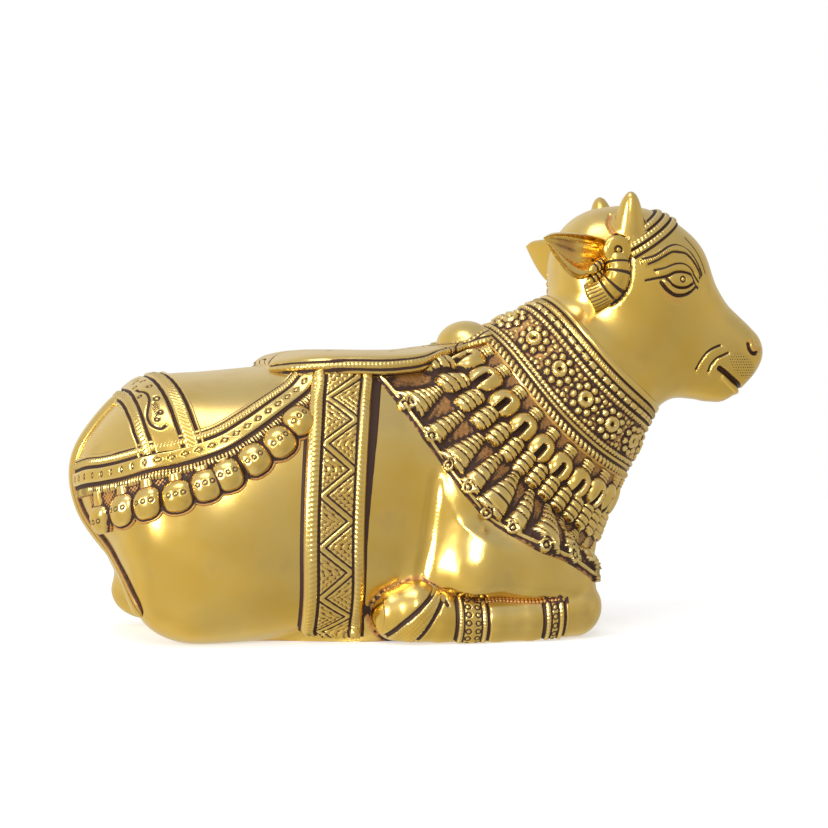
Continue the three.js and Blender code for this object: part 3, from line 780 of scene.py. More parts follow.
COLLAR_WIDTH = 37.0
COLLAR_MARGIN = 1.4
NECK_RADIUS = 36.5
THICK_CORD = 1.7
SEEDS = 5.1
PEARLS = 7.3
ROSETTES = 16.2
UPPER_PEARLS = 25.4
BARS = 28.9
THIN_CORD = 32.5
TOP_ROLL = 36.0
ROSETTE_COUNT, FIRST_ROSETTE = 14, 11
PETALS, SMALL_SEEDS = 9, 20
# Beads between two rosettes: place across the collar, place along it, radius
FILLERS = ((-5.6, 0, 1.25), (5.6, 0, 1.25), (-6.3, 2.4, 0.95), (-6.3, -2.4, 0.95), (6.3, 2.4, 0.95),
           (6.3, -2.4, 0.95), (-3.2, 0, 0.85), (3.2, 0, 0.85), (0, 0, 0.8))
collar_low = lambda angle: droop(8.6, 8.4, angle, 2.4)
collar_high = lambda angle: droop(46, 5.4, angle)


def rosette(u, w):
    """A pierced boss, a ring of small seeds round it and a ring of petals."""
    away = np.hypot(u, w)
    turn = np.arctan2(w, u)
    boss = np.maximum(rounded(away - 2.35, 1.25, 2.6), np.where(away < 2.4, 1.9, 0)) - 2.2 * cut(away, 1.0)
    petal = np.hypot(off_nearest(turn, 2 * np.pi / PETALS) * away, away - 5.5)
    seed = np.hypot(off_nearest(turn, 2 * np.pi / SMALL_SEEDS) * away, away - 3.95)
    return np.maximum(np.maximum(boss, rounded(petal, 1.6, 2.1)), rounded(seed, 0.6, 1.1))


def collar(lattice):
    sheet = neck_sheet(
        "collar", lattice, lambda angle: collar_low(angle) - COLLAR_MARGIN,
        lambda angle: collar_high(angle) + COLLAR_MARGIN, 92, 520,
    )
    low, high = collar_low(sheet.angle), collar_high(sheet.angle)
    v = (sheet.place - low) / (high - low) * COLLAR_WIDTH
    s = np.radians(sheet.angle) * NECK_RADIUS
    around = 2 * math.pi * NECK_RADIUS
    whole = lambda pitch: around / round(around / pitch)
    relief = Relief(v.shape, 0.9)
    relief.lay(rope_row(s, v - THICK_CORD, 1.7, 2.3, whole(2.2), 0.6))
    relief.carve(cut(v - 3.8, 0.7), 1.0)
    relief.lay(0.7 + bead_row(s, v - SEEDS, whole(1.3), 0.7, 0.7))
    relief.lay(0.7 + bead_row(s + 0.5, v - PEARLS, whole(1.9), 1.05, 1.3))
    relief.carve(cut(v - 6.1, 0.35), 0.7)
    relief.carve(cut(v - 8.6, 0.4), 0.7)
    pitch = 360 / ROSETTE_COUNT
    place = (sheet.angle - FIRST_ROSETTE) / pitch
    w = v - ROSETTES
    flower = rosette((place - np.round(place)) * pitch * sheet.per_degree, w)
    gap = (place - np.floor(place) - 0.5) * pitch * sheet.per_degree
    for across, along, size in FILLERS:
        flower = np.maximum(flower, rounded(np.hypot(gap - along, w - across), size, 1.2))
    zone = (v > 8.9) & (v < 24.4)
    relief.height = np.where(zone, 0.35 + np.maximum(flower, 0), relief.height)
    relief.lay(0.7 + bead_row(s, v - UPPER_PEARLS, whole(2.1), 1.05, 1.3))
    relief.carve(cut(v - 26.9, 0.5), 0.9)
    bar = whole(4.9)
    among_bars = np.abs(v - BARS) < 1.7
    edge = np.minimum(2.15 - np.abs(off_nearest(s, bar)), 1.45 - np.abs(v - BARS))
    relief.height = np.where(among_bars, 0.5 + 1.5 * ease(0, 0.7, edge), relief.height)
    knob = (s / bar - np.floor(s / bar) - 0.5) * bar
    relief.lay(0.5 + rounded(np.hypot(knob, v - BARS), 0.6, 1.1) * among_bars)
    relief.carve(cut(v - 30.95, 0.45), 0.9)
    relief.lay(0.4 + rope_row(s, v - THIN_CORD, 1.25, 1.5, whole(1.5), 1.2))
    relief.carve(cut(v - 34.1, 0.45), 0.8)
    relief.height = np.where(v > 34.5, 0.35 + rounded(v - TOP_ROLL, 1.5, 1.3), relief.height)
    relief.carve(cut(v - 36.2, 0.3), 0.35)
    relief.height *= 1 - 0.35 * ease(125, 165, folded(sheet.angle))
    rim = np.minimum(sheet.place - low, high - sheet.place) + COLLAR_MARGIN
    return sheet.raised(relief, rim)


# Pendants of the chest: how many of each go round, and the angle of the first

HORSESHOES, FIRST_HORSESHOE = 24, 12
BARRELS, FIRST_BARREL = 38, 0
BELLS, FIRST_BELL = 30, 2
# Half widths of the bells, and where coils go round them, as shares of their height from the top
LARGE_MOUTH, SMALL_MOUTH, BELL_NECK = 7.4, 4.6, 2.2
BELL_COILS = (0.1, 0.22, 0.35, 0.5, 0.68, 0.9)
CHEST_MARGIN = 4.2
# Places up the neck of the horseshoes, the barrels and the tops of the bells
shoe_place = lambda angle: droop(-3.6, 9.3, angle, 4)
barrel_place = lambda angle: droop(-13.2, 6, angle, 5)
bell_top = lambda angle: droop(-18.6, 5.4, angle, 5.2)


def bell_mouth(angle):
    """Place up the neck of the mouths of the bells, drawn up over the chest."""
    fold = folded(angle)
    lift = 10 * ease(88, 125, fold) + 7.6 * ease(110, 165, fold) + 1.6 * ease(135, 168, fold)
    return droop(-38, np.where(fold < 90, 14, 3), angle) + lift


def neighbours(sheet, count, first):
    """Number and angle of the item of a row that is nearest to each point, and of those beside it."""
    pitch = 360 / count
    for shift in (-1, 0, 1):
        number = np.round((sheet.angle - first) / pitch) + shift
        yield number, number * pitch + first


def bells(sheet, relief):
    """Large and small bells in turn, with coils round them."""
    for number, item in neighbours(sheet, BELLS, FIRST_BELL):
        large = np.mod(number, 2) == 1
        u = (sheet.angle - item) * sheet.per_degree
        mouth, top = bell_mouth(item), bell_top(item)
        share = (top - sheet.place) / (top - mouth)
        end = np.where(large, LARGE_MOUTH, SMALL_MOUTH)
        half = BELL_NECK + (end - BELL_NECK) * np.clip(share, 0, 1.1) ** 1.15
        crown = np.where(large, 1.7, 1.3) + np.where(large, 2.8, 2.2) * np.clip(share, 0, 1)
        bell = np.clip(1 - (u / half) ** 2, 0, 1) ** 0.42 * crown
        bell *= ease(-0.02, 0.04, share) * ease(1.05, 1.0, share)
        for at in BELL_COILS:
            bell = bell - 0.9 * cut((share - at) * (top - mouth), 0.5) * (bell > 0.6)
        relief.lay(bell)


def barrels(sheet, relief):
    """Barrel beads with three grooves round them."""
    for _, item in neighbours(sheet, BARRELS, FIRST_BARREL):
        u = (sheet.angle - item) * (0.35 * sheet.per_degree + 0.5)
        v = sheet.place - barrel_place(item)
        half = 3.75 - 1.1 * ease(2.6, 5.6, np.abs(v))
        ends = np.sqrt(np.clip(1 - np.clip((np.abs(v) - 3.8) / 1.9, 0, 1) ** 2, 0, 1))
        barrel = rounded(u, half, 3.6) * ends
        for at in (-2.9, 0, 2.9):
            barrel = barrel - 1.0 * cut(v - at, 0.5) * (barrel > 0.7)
        relief.lay(barrel)


def horseshoes(sheet, relief):
    """Swollen horseshoes, slit from below, each hung from a coil."""
    for _, item in neighbours(sheet, HORSESHOES, FIRST_HORSESHOE):
        u = (sheet.angle - item) * (0.35 * sheet.per_degree + 0.45)
        v = sheet.place - shoe_place(item)
        shoe = 4.6 * np.clip(1 - squarish(u / 5.6, v / 6.2, 2.3) ** 2, 0, 1) ** 0.45
        slit = to_polyline(u, v, [(0, 0.6), (0, -7)])
        shoe = np.where(shoe > 0, np.maximum(shoe - 3.8 * cut(slit, 1.45), 0.7), 0)
        coil = rounded(u, 3.1, 3.0) - 0.9 * (0.5 + 0.5 * ripple(v - 5.6, 1.45)) * (np.abs(u) < 3)
        coil = coil * ease(4.6, 5.2, v) * ease(10.1, 9.6, v)
        relief.lay(np.maximum(shoe, coil))


def bell_rings(sheet, relief):
    """A small ring with a bead in it at the mouth of each bell."""
    for number, item in neighbours(sheet, BELLS, FIRST_BELL):
        large = np.mod(number, 2) == 1
        u = (sheet.angle - item) * sheet.per_degree
        v = sheet.place - bell_mouth(item) + np.where(large, 1.6, 0.6)
        away = np.hypot(u, v)
        ring = np.maximum(rounded(away - 1.9, 0.55, 1.3), rounded(away, 0.9, 1.3))
        relief.height = np.where(away < 2.5, 1.3 + ring, relief.height)


def pendants(lattice):
    sheet = neck_sheet(
        "chest_pendants", lattice, lambda angle: bell_mouth(angle) - CHEST_MARGIN,
        lambda angle: collar_low(angle) + 1.2, 114, 600,
    )
    s, place = sheet.angle * sheet.per_degree, sheet.place
    relief = Relief(place.shape, 0.3)
    relief.lay(0.3 + rounded(place - bell_mouth(sheet.angle) + 1.5, 0.8, 1.1))
    bells(sheet, relief)
    barrels(sheet, relief)
    horseshoes(sheet, relief)
    bell_rings(sheet, relief)
    bare = ease(0.8, 0.4, relief.height)
    relief.height = relief.height + 0.15 * bare * ripple(s, 1.5) * ripple(place, 1.5)
    relief.dark, relief.warm = 0.24 * bare, 0.85 * bare
    fold = folded(sheet.angle)
    clear = ease(20, 26, fold) * (1 - 0.55 * ease(122, 162, fold))
    relief.height = relief.height * clear + 0.2 * (1 - clear)
    return sheet.raised(relief, place - bell_mouth(sheet.angle) + CHEST_MARGIN)


# On the flanks: a guessed point is carried out to the skin from the middle of the barrel

BARREL_ENDS = (-112, 10)
BARREL_LEVEL = 50
FLANK_CELL = 2.5


def flank_rays(guess):
    """Starts in the middle of the barrel, and directions from there to the guessed points."""
    inner = np.zeros(guess.shape)
    inner[..., 0] = np.clip(guess[..., 0], *BARREL_ENDS)
    inner[..., 2] = BARREL_LEVEL
    return inner, unit(guess - inner)


def flank_cast(guess, forms=FLESH):
    return cast(*flank_rays(guess), forms)


def flank_sheet(name, side, line, low, high, step, across=None):
    """Sheet along a line drawn for the right side, reaching from low to high across it.
    across is the fixed direction of its width, or none for square to the line on the skin."""
    middle = even_line(np.array(line) * (1, -side, 1), FLANK_CELL)
    if across is None:
        width = unit(np.cross(flank_rays(middle)[1], np.gradient(middle, axis=0)) * side)
    else:
        width = np.broadcast_to(np.array(across, float), middle.shape)
    rows = np.linspace(low, high, int(round((high - low) / FLANK_CELL)) + 1)
    coarse = flank_cast(middle[None] + rows[:, None, None] * width[None])
    fine = [int(round(reach / step)) + 1 for reach in (high - low, (len(middle) - 1) * FLANK_CELL)]
    points = refined(coarse, *fine)
    if side > 0:
        points = points[:, ::-1]
    sheet = Sheet(name, points, False)
    sheet.face(points - (0, 0, BARREL_LEVEL))
    centre = int(round(-low / (high - low) * (fine[0] - 1)))
    v = run_along(points)
    sheet.v = v - v[centre]
    s = run_along(points[centre])
    if side > 0:
        s = s[-1] - s
    sheet.s = np.broadcast_to(s, v.shape)
    sheet.stretch = np.linalg.norm(sheet.along, axis=-1) / np.abs(np.gradient(s))
    sheet.side = side
    return sheet


def spot(sheet, place):
    """The sheet's s and v at its point nearest to a place given for the right side."""
    gap = np.linalg.norm(sheet.points - np.array(place) * (1, -sheet.side, 1), axis=-1)
    at = np.unravel_index(np.argmin(gap), gap.shape)
    return sheet.s[at], sheet.v[at]


# Blanket border: its line on the right side, and the middles of its drops

BORDER_LINE = [
    (-56, -36, 109),
    (-60, -38, 103.5),
    (-66, -41, 98.5),
    (-73, -44, 93.5),
    (-83, -48, 87.5),
    (-95, -50, 81),
    (-111, -47, 75.5),
    (-126, -39, 71),
    (-136, -28, 67.5),
    (-143.5, -13, 65),
    (-146.5, 0, 64),
]
BORDER_LOW, BORDER_HIGH = -27, 8.6
CORD, EDGE_ROLL, TEETH = 4.7, 6.9, -6.3
FLAT_LOW, FLAT_HIGH = -3.6, 2.3
LOZENGES = -0.6
LOZENGE_STEP, FIRST_RING = 5.3, 15
DROP_HALVES, DROP_SIZE, DROP_POWER, DROP_RISE = (6.1, 6.4), 6.2, 2.5, 4.6
DROP_PLACES = [
    (-137.1, -25.5, 49.3),
    (-130.6, -37.6, 54),
    (-122.1, -46.2, 57),
    (-111.3, -51.1, 60),
    (-100.9, -53, 64),
    (-92.2, -53, 67.7),
    (-82, -52.3, 73.1),
    (-71.8, -50.5, 79.7),
    (-63.1, -46.7, 87.3),
]


def drops(sheet, relief, spots):
    """Round drops pricked with three rings, each on a tab. Gives the distance from the nearest drop."""
    s, v = sheet.s, sheet.v
    nearest_drop = np.full(v.shape, 1e9)
    for at, low in spots:
        u = (s - at) * sheet.stretch
        w = v - low
        tab = rounded(u, 2.9 - 0.14 * (w - 7), 1.9) * ease(13, 11.5, w) * ease(3, 4, w)
        relief.lay(np.where(v < -6.8, tab, 0))
        square = squarish(u / DROP_HALVES[0], w / DROP_HALVES[1], DROP_POWER)
        drop = rounded(square, 1, DROP_RISE)
        for across in (-2.9, 0, 2.9):
            pock = cut(np.hypot(u - across, w - 0.5) - 0.8, 0.4) * (drop > 1)
            drop = drop - 0.3 * pock
            relief.darken(0.85 * pock)
        relief.lay(drop)
        relief.lay(0.2 + 0.6 * cut(square * DROP_SIZE - 7.0, 0.7) * (w < 1.5))
        nearest_drop = np.minimum(nearest_drop, square * DROP_SIZE)
    return nearest_drop


def border(side):
    """Blanket border: a cord, a flat band of lozenges, a row of teeth, and the drops below."""
    name = "blanket_border_" + SIDE_NAMES[side]
    sheet = flank_sheet(name, side, BORDER_LINE, BORDER_LOW, BORDER_HIGH, 0.39)
    s, v = sheet.s, sheet.v
    relief = Relief(v.shape, np.where(v > -4, 0.5, 0.3))
    relief.lay(np.where(v > 2.6, 0.5 + rope_row(s, v - CORD, 1.5, 1.1, 1.45, 0.9), 0))
    relief.lay(0.3 + rounded(v - EDGE_ROLL, 0.6, 0.7))
    relief.carve(cut(v - 6.2, 0.35) * (v > 3), 0.5)
    flat = np.minimum(FLAT_HIGH - v, v - FLAT_LOW)
    relief.lay(1.5 * ease(-0.1, 0.6, flat))
    relief.carve(cut(v - 2.75, 0.55), 0.9)
    relief.carve(cut(v + 4.1, 0.6), 1.0)
    u, w = off_nearest(s, LOZENGE_STEP), v - LOZENGES
    lozenge = cut(np.abs(u) / 2.0 + np.abs(w) / 1.15 - 0.8, 0.28)
    small_ring = cut(np.hypot(u * 1.6, w) - 0.95, 0.4)
    toward_tail = np.round(s / LOZENGE_STEP) >= FIRST_RING
    relief.carve(np.where(toward_tail, small_ring, lozenge) * (flat > 0.3), 0.45, 0.75)
    relief.lay(0.4 + rounded(v - TEETH, 1.5, 1.1) * (0.55 + 0.45 * ripple(s, 1.3)))
    spots = [spot(sheet, place) for place in DROP_PLACES]
    along_drops = sorted(spots)
    bare = v - np.interp(s, [at for at, _ in along_drops], [low for _, low in along_drops])
    nearest_drop = drops(sheet, relief, spots)
    open_ground = ease(-7.5, -8.5, v) * ease(-1, 2, bare) * ease(1.0, 0.6, relief.height)
    relief.height += 0.2 * open_ground * ripple(s, 1.7) * ripple(v, 1.7)
    beyond = 60
    rim = np.minimum(BORDER_HIGH - v, 8.1 - nearest_drop + beyond * ease(-1, 4, bare))
    rim = np.minimum(rim, s - s.min() + 1)
    rim = np.minimum(rim, spots[0][0] + 6.4 - s + beyond * ease(-8.6, -7.6, v))
    relief.warm = np.maximum(0.8 * open_ground, 0.9 * ease(1.9, 0.8, rim) * (v < 0))
    return sheet.raised(relief, rim)


# Girth strap

STRAP_LINE = [
    (-43.5, -37, 109),
    (-45, -41, 102),
    (-47, -46, 92),
    (-49.5, -52, 76),
    (-51, -55, 58),
    (-51.6, -56, 38),
    (-50.8, -53, 20),
    (-50, -46, 9),
    (-49, -38, 3),
]
STEP_LOW, STEP_HIGH = -12.6, 12.9
ZIGZAG_LOW, ZIGZAG_HIGH = -5.4, 6.9
ZIGZAG_PITCH, FIRST_POINT = 20, 13.5
SCALE = 1.9


def scales(s, v, away):
    """Rows of small arcs on either side of the zigzag."""
    row = np.abs(away) / SCALE
    shift = np.floor(row) % 2 * 0.5
    along = off_nearest(s + np.sign(away) * v * 0.3 + shift * SCALE, SCALE)
    depth = (row - np.floor(row)) * SCALE
    return cut(np.hypot(along, depth - 0.2) - 0.95, 0.36) * (depth > 0.2)


def girth(side):
    """Girth strap: a zigzag between two lines on a raised band, with a cord along each edge."""
    sheet = flank_sheet("girth_strap_" + SIDE_NAMES[side], side, STRAP_LINE, -15, 18.6, 0.46, (1, 0, 0))
    s, v = sheet.s, sheet.v
    plateau = np.minimum(v - STEP_LOW, STEP_HIGH - v)
    relief = Relief(v.shape, 2.3 * ease(-0.4, 1.4, plateau))
    relief.height += rope_row(s, v + 8.9, 2.0, 1.0, 1.9, 0.5) + rope_row(s, v - 9.6, 1.5, 0.9, 1.9, -0.5)
    relief.carve(np.maximum(cut(v + 6.35, 0.75), cut(v - 7.55, 0.55)), 1.0, 1.0)
    rise = ZIGZAG_HIGH - ZIGZAG_LOW
    middle = ZIGZAG_LOW + rise * np.abs(off_nearest((s - FIRST_POINT) / ZIGZAG_PITCH, 1)) * 2
    away = (v - middle) / math.hypot(1, 2 * rise / ZIGZAG_PITCH)
    zone = (v > ZIGZAG_LOW - 0.5) & (v < ZIGZAG_HIGH + 0.3)
    relief.carve(np.maximum(cut(away - 1.25, 0.5), cut(away + 1.25, 0.5)) * zone, 0.75, 0.95)
    relief.carve(scales(s, v, away) * (np.abs(away) > 1.8) * zone, 0.4, 0.45)
    relief.height = np.where(v > 12, np.maximum(relief.height, 0.35), relief.height)
    front = 17.2 - 2.9 * ease(15, 95, s)
    rim = np.minimum(np.minimum(v + 14.4, front - v), sheet.points[..., 2] - 1.5)
    relief.warm = ease(1.2, -0.2, plateau) * 0.9
    # The right wall painted dark, a painted shadow beside the strap; the foot of the left wall darker, as old
    # grime and painted shade in the crease
    relief.darken(ease(STEP_HIGH - 0.6, STEP_HIGH, v))
    relief.darken(0.7 * cut(v + 13.4, 1.0))
    return sheet.raised(relief, rim)


# Rump strap

RUMP_LINE = [
    (-120.5, 3, 108),
    (-120.2, -6, 106),
    (-119, -17, 102),
    (-117.5, -29, 94),
    (-115.8, -38, 86),
    (-114, -43, 80.5),
    (-113.2, -46, 77),
]
SCROLL = [(24, -4.6), (27, -3.9), (29.5, -2.4), (33, -1.5), (37, -1.9), (42, -3.8), (45, -4.6), (49, -4.0),
          (51.5, -1.4), (50.5, 0.9)]
SCROLL_RINGS = ((26.5, 0.4, 1.0), (36.5, 1.0, 1.1), (31, -4.6, 0.8), (44, 0.6, 0.9), (47, -1.4, 0.8),
                (13, -2.5, 1.1), (18, -0.4, 0.9), (20, -4.4, 0.9), (8, -1, 1.0))
# Edges of the strap's three bands, at the spine and at the border
RUMP_EDGES = ((-12.6, -11.6), (-7.2, -6.5), (2.6, 5.0), (8.9, 11.7))
RUMP_MARGIN = 2.4


def rump_strap(side):
    """Rump strap: a scroll between two hatched bands, wider toward the border."""
    sheet = flank_sheet("rump_strap_" + SIDE_NAMES[side], side, RUMP_LINE, -16, 16.4, 0.42, (1, 0, 0))
    s, v = sheet.s, sheet.v
    relief = Relief(v.shape, 1.3)
    spread = ease(12, 48, s)
    edges = [high + (low - high) * spread for high, low in RUMP_EDGES]
    for at, half in zip(edges, (0.8, 0.85, 0.95, 0.85)):
        relief.carve(cut(v - at, half), 1.1, 1.0)
    for one, two, lean in ((0, 1, 0.4), (2, 3, -0.8)):
        off = v - (edges[one] + edges[two]) / 2
        half = (edges[two] - edges[one]) / 2 - 1
        relief.height += 0.4 * (0.5 + 0.5 * ripple(s + lean * off, 1.9)) * ease(half, half - 0.5, np.abs(off))
    mark = cut(to_polyline(s, v, smooth_flat(SCROLL)), 0.75)
    for a, b, radius in SCROLL_RINGS:
        mark = np.maximum(mark, cut(np.hypot(s - a, v - b) - radius, 0.42))
    for at in range(38, 45):
        mark = np.maximum(mark, 0.8 * cut(to_polyline(s, v, [(at, 0.4), (at + 1.5, -1.6)]), 0.3))
    inside = (v > edges[1] + 1) & (v < edges[2] - 1)
    relief.carve(mark * inside, 0.6, 0.9)
    return sheet.raised(relief, np.minimum(v - edges[0], edges[3] - v) + RUMP_MARGIN)


# Saddle pad: drawn round the line of the saddle, from its edge on one side to the other

SADDLE_REAR, SADDLE_FRONT = -69.6, 25
SADDLE_TURN = 118
LOZENGE_PITCH, LAST_LOZENGE = 26, 5
LOZENGE_HALVES, PETAL_HALVES = (13, 24), (5.5, 9)
HUMP_FOOT_TOP = 124


def saddle_pad():
    rows, columns = 180, 216
    x = np.linspace(SADDLE_REAR, SADDLE_FRONT, columns)
    turn = np.radians(np.linspace(-SADDLE_TURN, SADDLE_TURN, rows))[:, None] * np.ones(columns)
    inner = np.zeros((rows, columns, 3))
    inner[..., 0] = x
    inner[..., 2] = np.interp(x, SADDLE.places, SADDLE.level)
    outward = np.zeros(inner.shape)
    for spread_evenly in (True, False):
        outward[..., 1] = np.sin(turn)
        outward[..., 2] = np.cos(turn)
        points = cast(inner, outward, [SADDLE, HUMP], 60)
        run = run_along(points)
        if spread_evenly:
            even = np.linspace(0, 1, rows)[:, None] * run[-1:]
            turn = np.stack([np.interp(even[:, k], run[:, k], turn[:, k]) for k in range(columns)], 1)
    sheet = Sheet("saddle_pad", points, False)
    sheet.face(outward)
    off = run - run[-1:] / 2
    widest = np.array([np.interp(math.pi / 2, turn[:, k], off[:, k]) for k in range(columns)])
    v = widest - np.abs(off)
    s, y = points[..., 0], points[..., 1]
    relief = Relief(v.shape, 1.0)
    foot = field_over(points, [HUMP])
    plain = ease(3.5, 5, foot)
    relief.height += bead_row(s, v - 0.6, 1.6, 0.8, 0.5) * plain
    for at, half in ((2.2, 0.6), (-1.0, 0.7), (-4.2, 0.9)):
        relief.carve(cut(v - at, half) * plain, 0.7, 1.0)
    relief.height += 0.2 * ease(2.6, 4.5, v)
    for k in range(-3, 1):
        middle = LOZENGE_PITCH * k + LAST_LOZENGE
        lozenge = np.abs(s - middle) / LOZENGE_HALVES[0] + np.abs(y) / LOZENGE_HALVES[1]
        relief.carve(cut((lozenge - 1) * 11, 0.6) * plain, 0.45, 0.8)
        petal = np.hypot((s - middle) / PETAL_HALVES[0], y / PETAL_HALVES[1]) - 1
        relief.carve(cut(petal * 6, 0.55) * plain, 0.4, 0.7)
    below = points[..., 2] < HUMP_FOOT_TOP
    relief.carve(cut(foot - 1.4, 0.8) * below, 0.7, 1.0)
    around = np.degrees(np.arctan2(s - HUMP.centre[0], y + 1e-6)) * 0.2
    relief.height += 0.9 * cut(foot - 2.9, 0.9) * (0.5 + 0.5 * ripple(around, 1.6)) * below
    relief.darken(0.8 * cut(foot - 4.2, 0.7) * below)
    rim = np.minimum(np.minimum(run, run[-1:] - run), np.minimum(s - SADDLE_REAR, SADDLE_FRONT - s))
    return sheet.raised(relief, rim)


# Forelegs: round the line of the shank, the angle in degrees from outward, growing upward

LEG_X = [-24, -17, -8, 2, 14, 28, 48]
LEG_Z = [11.5, 12.5, 10.5, 8.8, 8.2, 8.4, 12.4]
LEG_Y = [48, 49, 50.5, 51.8, 52.4, 52, 47]
LEG_LOW, LEG_HIGH = -62, 132
SHANK_INSIDE = (0, 51, 10)
HOOF_RADIUS = 10.6
HOOF_FRONT = ((-24.4, 9), (-12.3, 20))
HOOF_BACK = ((-16.5, 4.7), (-8.6, 17))
NAIL = [(-9.6, 22), (-6.4, 15.6)]
BANDS = ((-2.8, 10.4), (33.2, 42.2))
RUN_PER_DEGREE = 0.18


def leg_lattice(side, x, turn):
    """Points of the shank's skin, by place along x and angle round the shank."""
    shank = SHANKS[(side + 1) // 2]
    inner = np.zeros((len(turn), len(x), 3))
    inner[..., 0] = np.maximum(x, LEG_X[0])
    inner[..., 1] = side * np.interp(x, LEG_X, LEG_Y)
    inner[..., 2] = np.interp(x, LEG_X, LEG_Z)
    outward = np.zeros(inner.shape)
    outward[..., 0] = np.tan(np.minimum(x - LEG_X[0], 0) / HOOF_RADIUS)
    outward[..., 1] = side * np.cos(turn)[:, None]
    outward[..., 2] = np.sin(turn)[:, None]
    return cast(inner, unit(outward), [shank], 40)


def leg_bands(side):
    """Two beaded bands on the shank, and the lines across the hoof."""
    x = np.arange(-33, 46, 2.0)
    turn = np.radians(np.arange(LEG_LOW, LEG_HIGH + 1, 4.0))
    rows, columns = 84, 180
    points = refined(leg_lattice(side, x, turn), rows, columns)
    if side > 0:
        points = points[:, ::-1]
    sheet = Sheet("foreleg_bands_" + SIDE_NAMES[side], points, False)
    sheet.face(points - np.array(SHANK_INSIDE) * (1, side, 1))
    at_x = points[..., 0]
    angle = np.linspace(LEG_LOW, LEG_HIGH, rows)[:, None]
    run = np.broadcast_to(angle * RUN_PER_DEGREE, at_x.shape)
    lift = np.clip(points[..., 2], 0, 22)
    front, back = (to_line(at_x, lift, *line) for line in (HOOF_FRONT, HOOF_BACK))
    nail = to_polyline(at_x, lift, NAIL)
    relief = Relief(at_x.shape, 0.9)
    dots = 0.5 + 0.5 * ripple(at_x, 1.9) * ripple(run, 1.9)
    relief.height += np.where((front > 0.9) & (back < -0.9), 0.3 + 0.35 * dots, 0)
    for distance, half in ((front, 1.1), (back, 1.1), (nail, 0.9)):
        relief.carve(cut(distance, half), 0.7, 1.0)
    for low, high in BANDS:
        band = ease(low, low + 0.6, at_x) * ease(high, high - 0.6, at_x)
        relief.height += 0.6 * band
        for at in (low + 0.2, high - 0.2):
            relief.carve(cut(at_x - at, 1.0), 0.7, 1.0)
        for at in (low + 1.7, high - 1.7):
            relief.height += bead_row(run, at_x - at, 1.3, 0.62, 0.5)
        for at in (low + 3.0, high - 3.0):
            relief.carve(cut(at_x - at, 0.5), 0.5, 1.0)
        u = off_nearest(run, 3.4)
        middle = (low + high) / 2
        for across in ((-1.9, 1.9) if high - low > 10 else (0,)):
            ring = cut(np.hypot(u, at_x - middle - across) - 1.0, 0.45)
            relief.carve(ring * band, 0.4, 0.8)
    # Darker and copper brown where the shank comes close to the trunk: old grime and painted shade in the
    # crease
    clear = field_over(points, TRUNK)
    relief.warm = ease(2.4, 1.2, clear)
    relief.darken(ease(1.5, 0.9, clear))
    rim = np.minimum(np.minimum(at_x + 31.5, 44.5 - at_x), (angle - LEG_LOW) * 0.15)
    return sheet.raised(relief, rim)


def bead_string(name, line, pitch, radius):
    """Small beads set close along a line."""
    line = even_line(line, pitch)
    rows, columns = 6, 8
    turn = full_turn(columns)
    tilt = np.linspace(-1.45, 1.45, rows)[:, None]
    across, up = np.cos(tilt), np.sin(tilt) * np.ones(columns)
    bead = np.stack([across * np.cos(turn), across * np.sin(turn), up], -1).reshape(-1, 3)
    first = np.arange(1, columns - 1)
    first_cap = np.stack([0 * first, first + 1, first], 1)
    shape = facing_out(bead, np.concatenate([tube_faces(rows, columns), first_cap]))
    points = (line[:, None] + radius * bead).reshape(-1, 3)
    faces = shape + (np.arange(len(line)) * len(bead))[:, None, None]
    return add_piece(name, points, faces.reshape(-1, 3), {"warm": np.full(len(points), 0.7)})


def crease_beads(side):
    """Beads along the crease where the shank meets the trunk, seen from outside."""
    x = np.arange(-29, 43, 1.5)
    turn = np.radians(np.arange(20, LEG_HIGH, 2.0))
    points = leg_lattice(side, x, turn)
    shut = field_over(points, TRUNK) < 0.2
    row = np.where(shut.any(0), shut.argmax(0), len(turn) - 1)
    line = points[row, np.arange(len(x))]
    line = line + 0.9 * unit(slope(line, FLESH)[1])
    return bead_string("leg_beads_" + SIDE_NAMES[side], line, 1.5, 0.85)


# Shader maths

class Wire:
    """A value in a material: sums and products of wires add their own Math nodes."""

    def __init__(self, paint, socket):
        self.paint = paint
        self.socket = socket

    def __add__(self, other):
        return self.paint.sum("ADD", self, other)

    def __sub__(self, other):
        return self.paint.sum("SUBTRACT", self, other)

    def __rsub__(self, other):
        return self.paint.sum("SUBTRACT", other, self)

    def __mul__(self, other):
        return self.paint.sum("MULTIPLY", self, other)

    __radd__ = __add__
    __rmul__ = __mul__


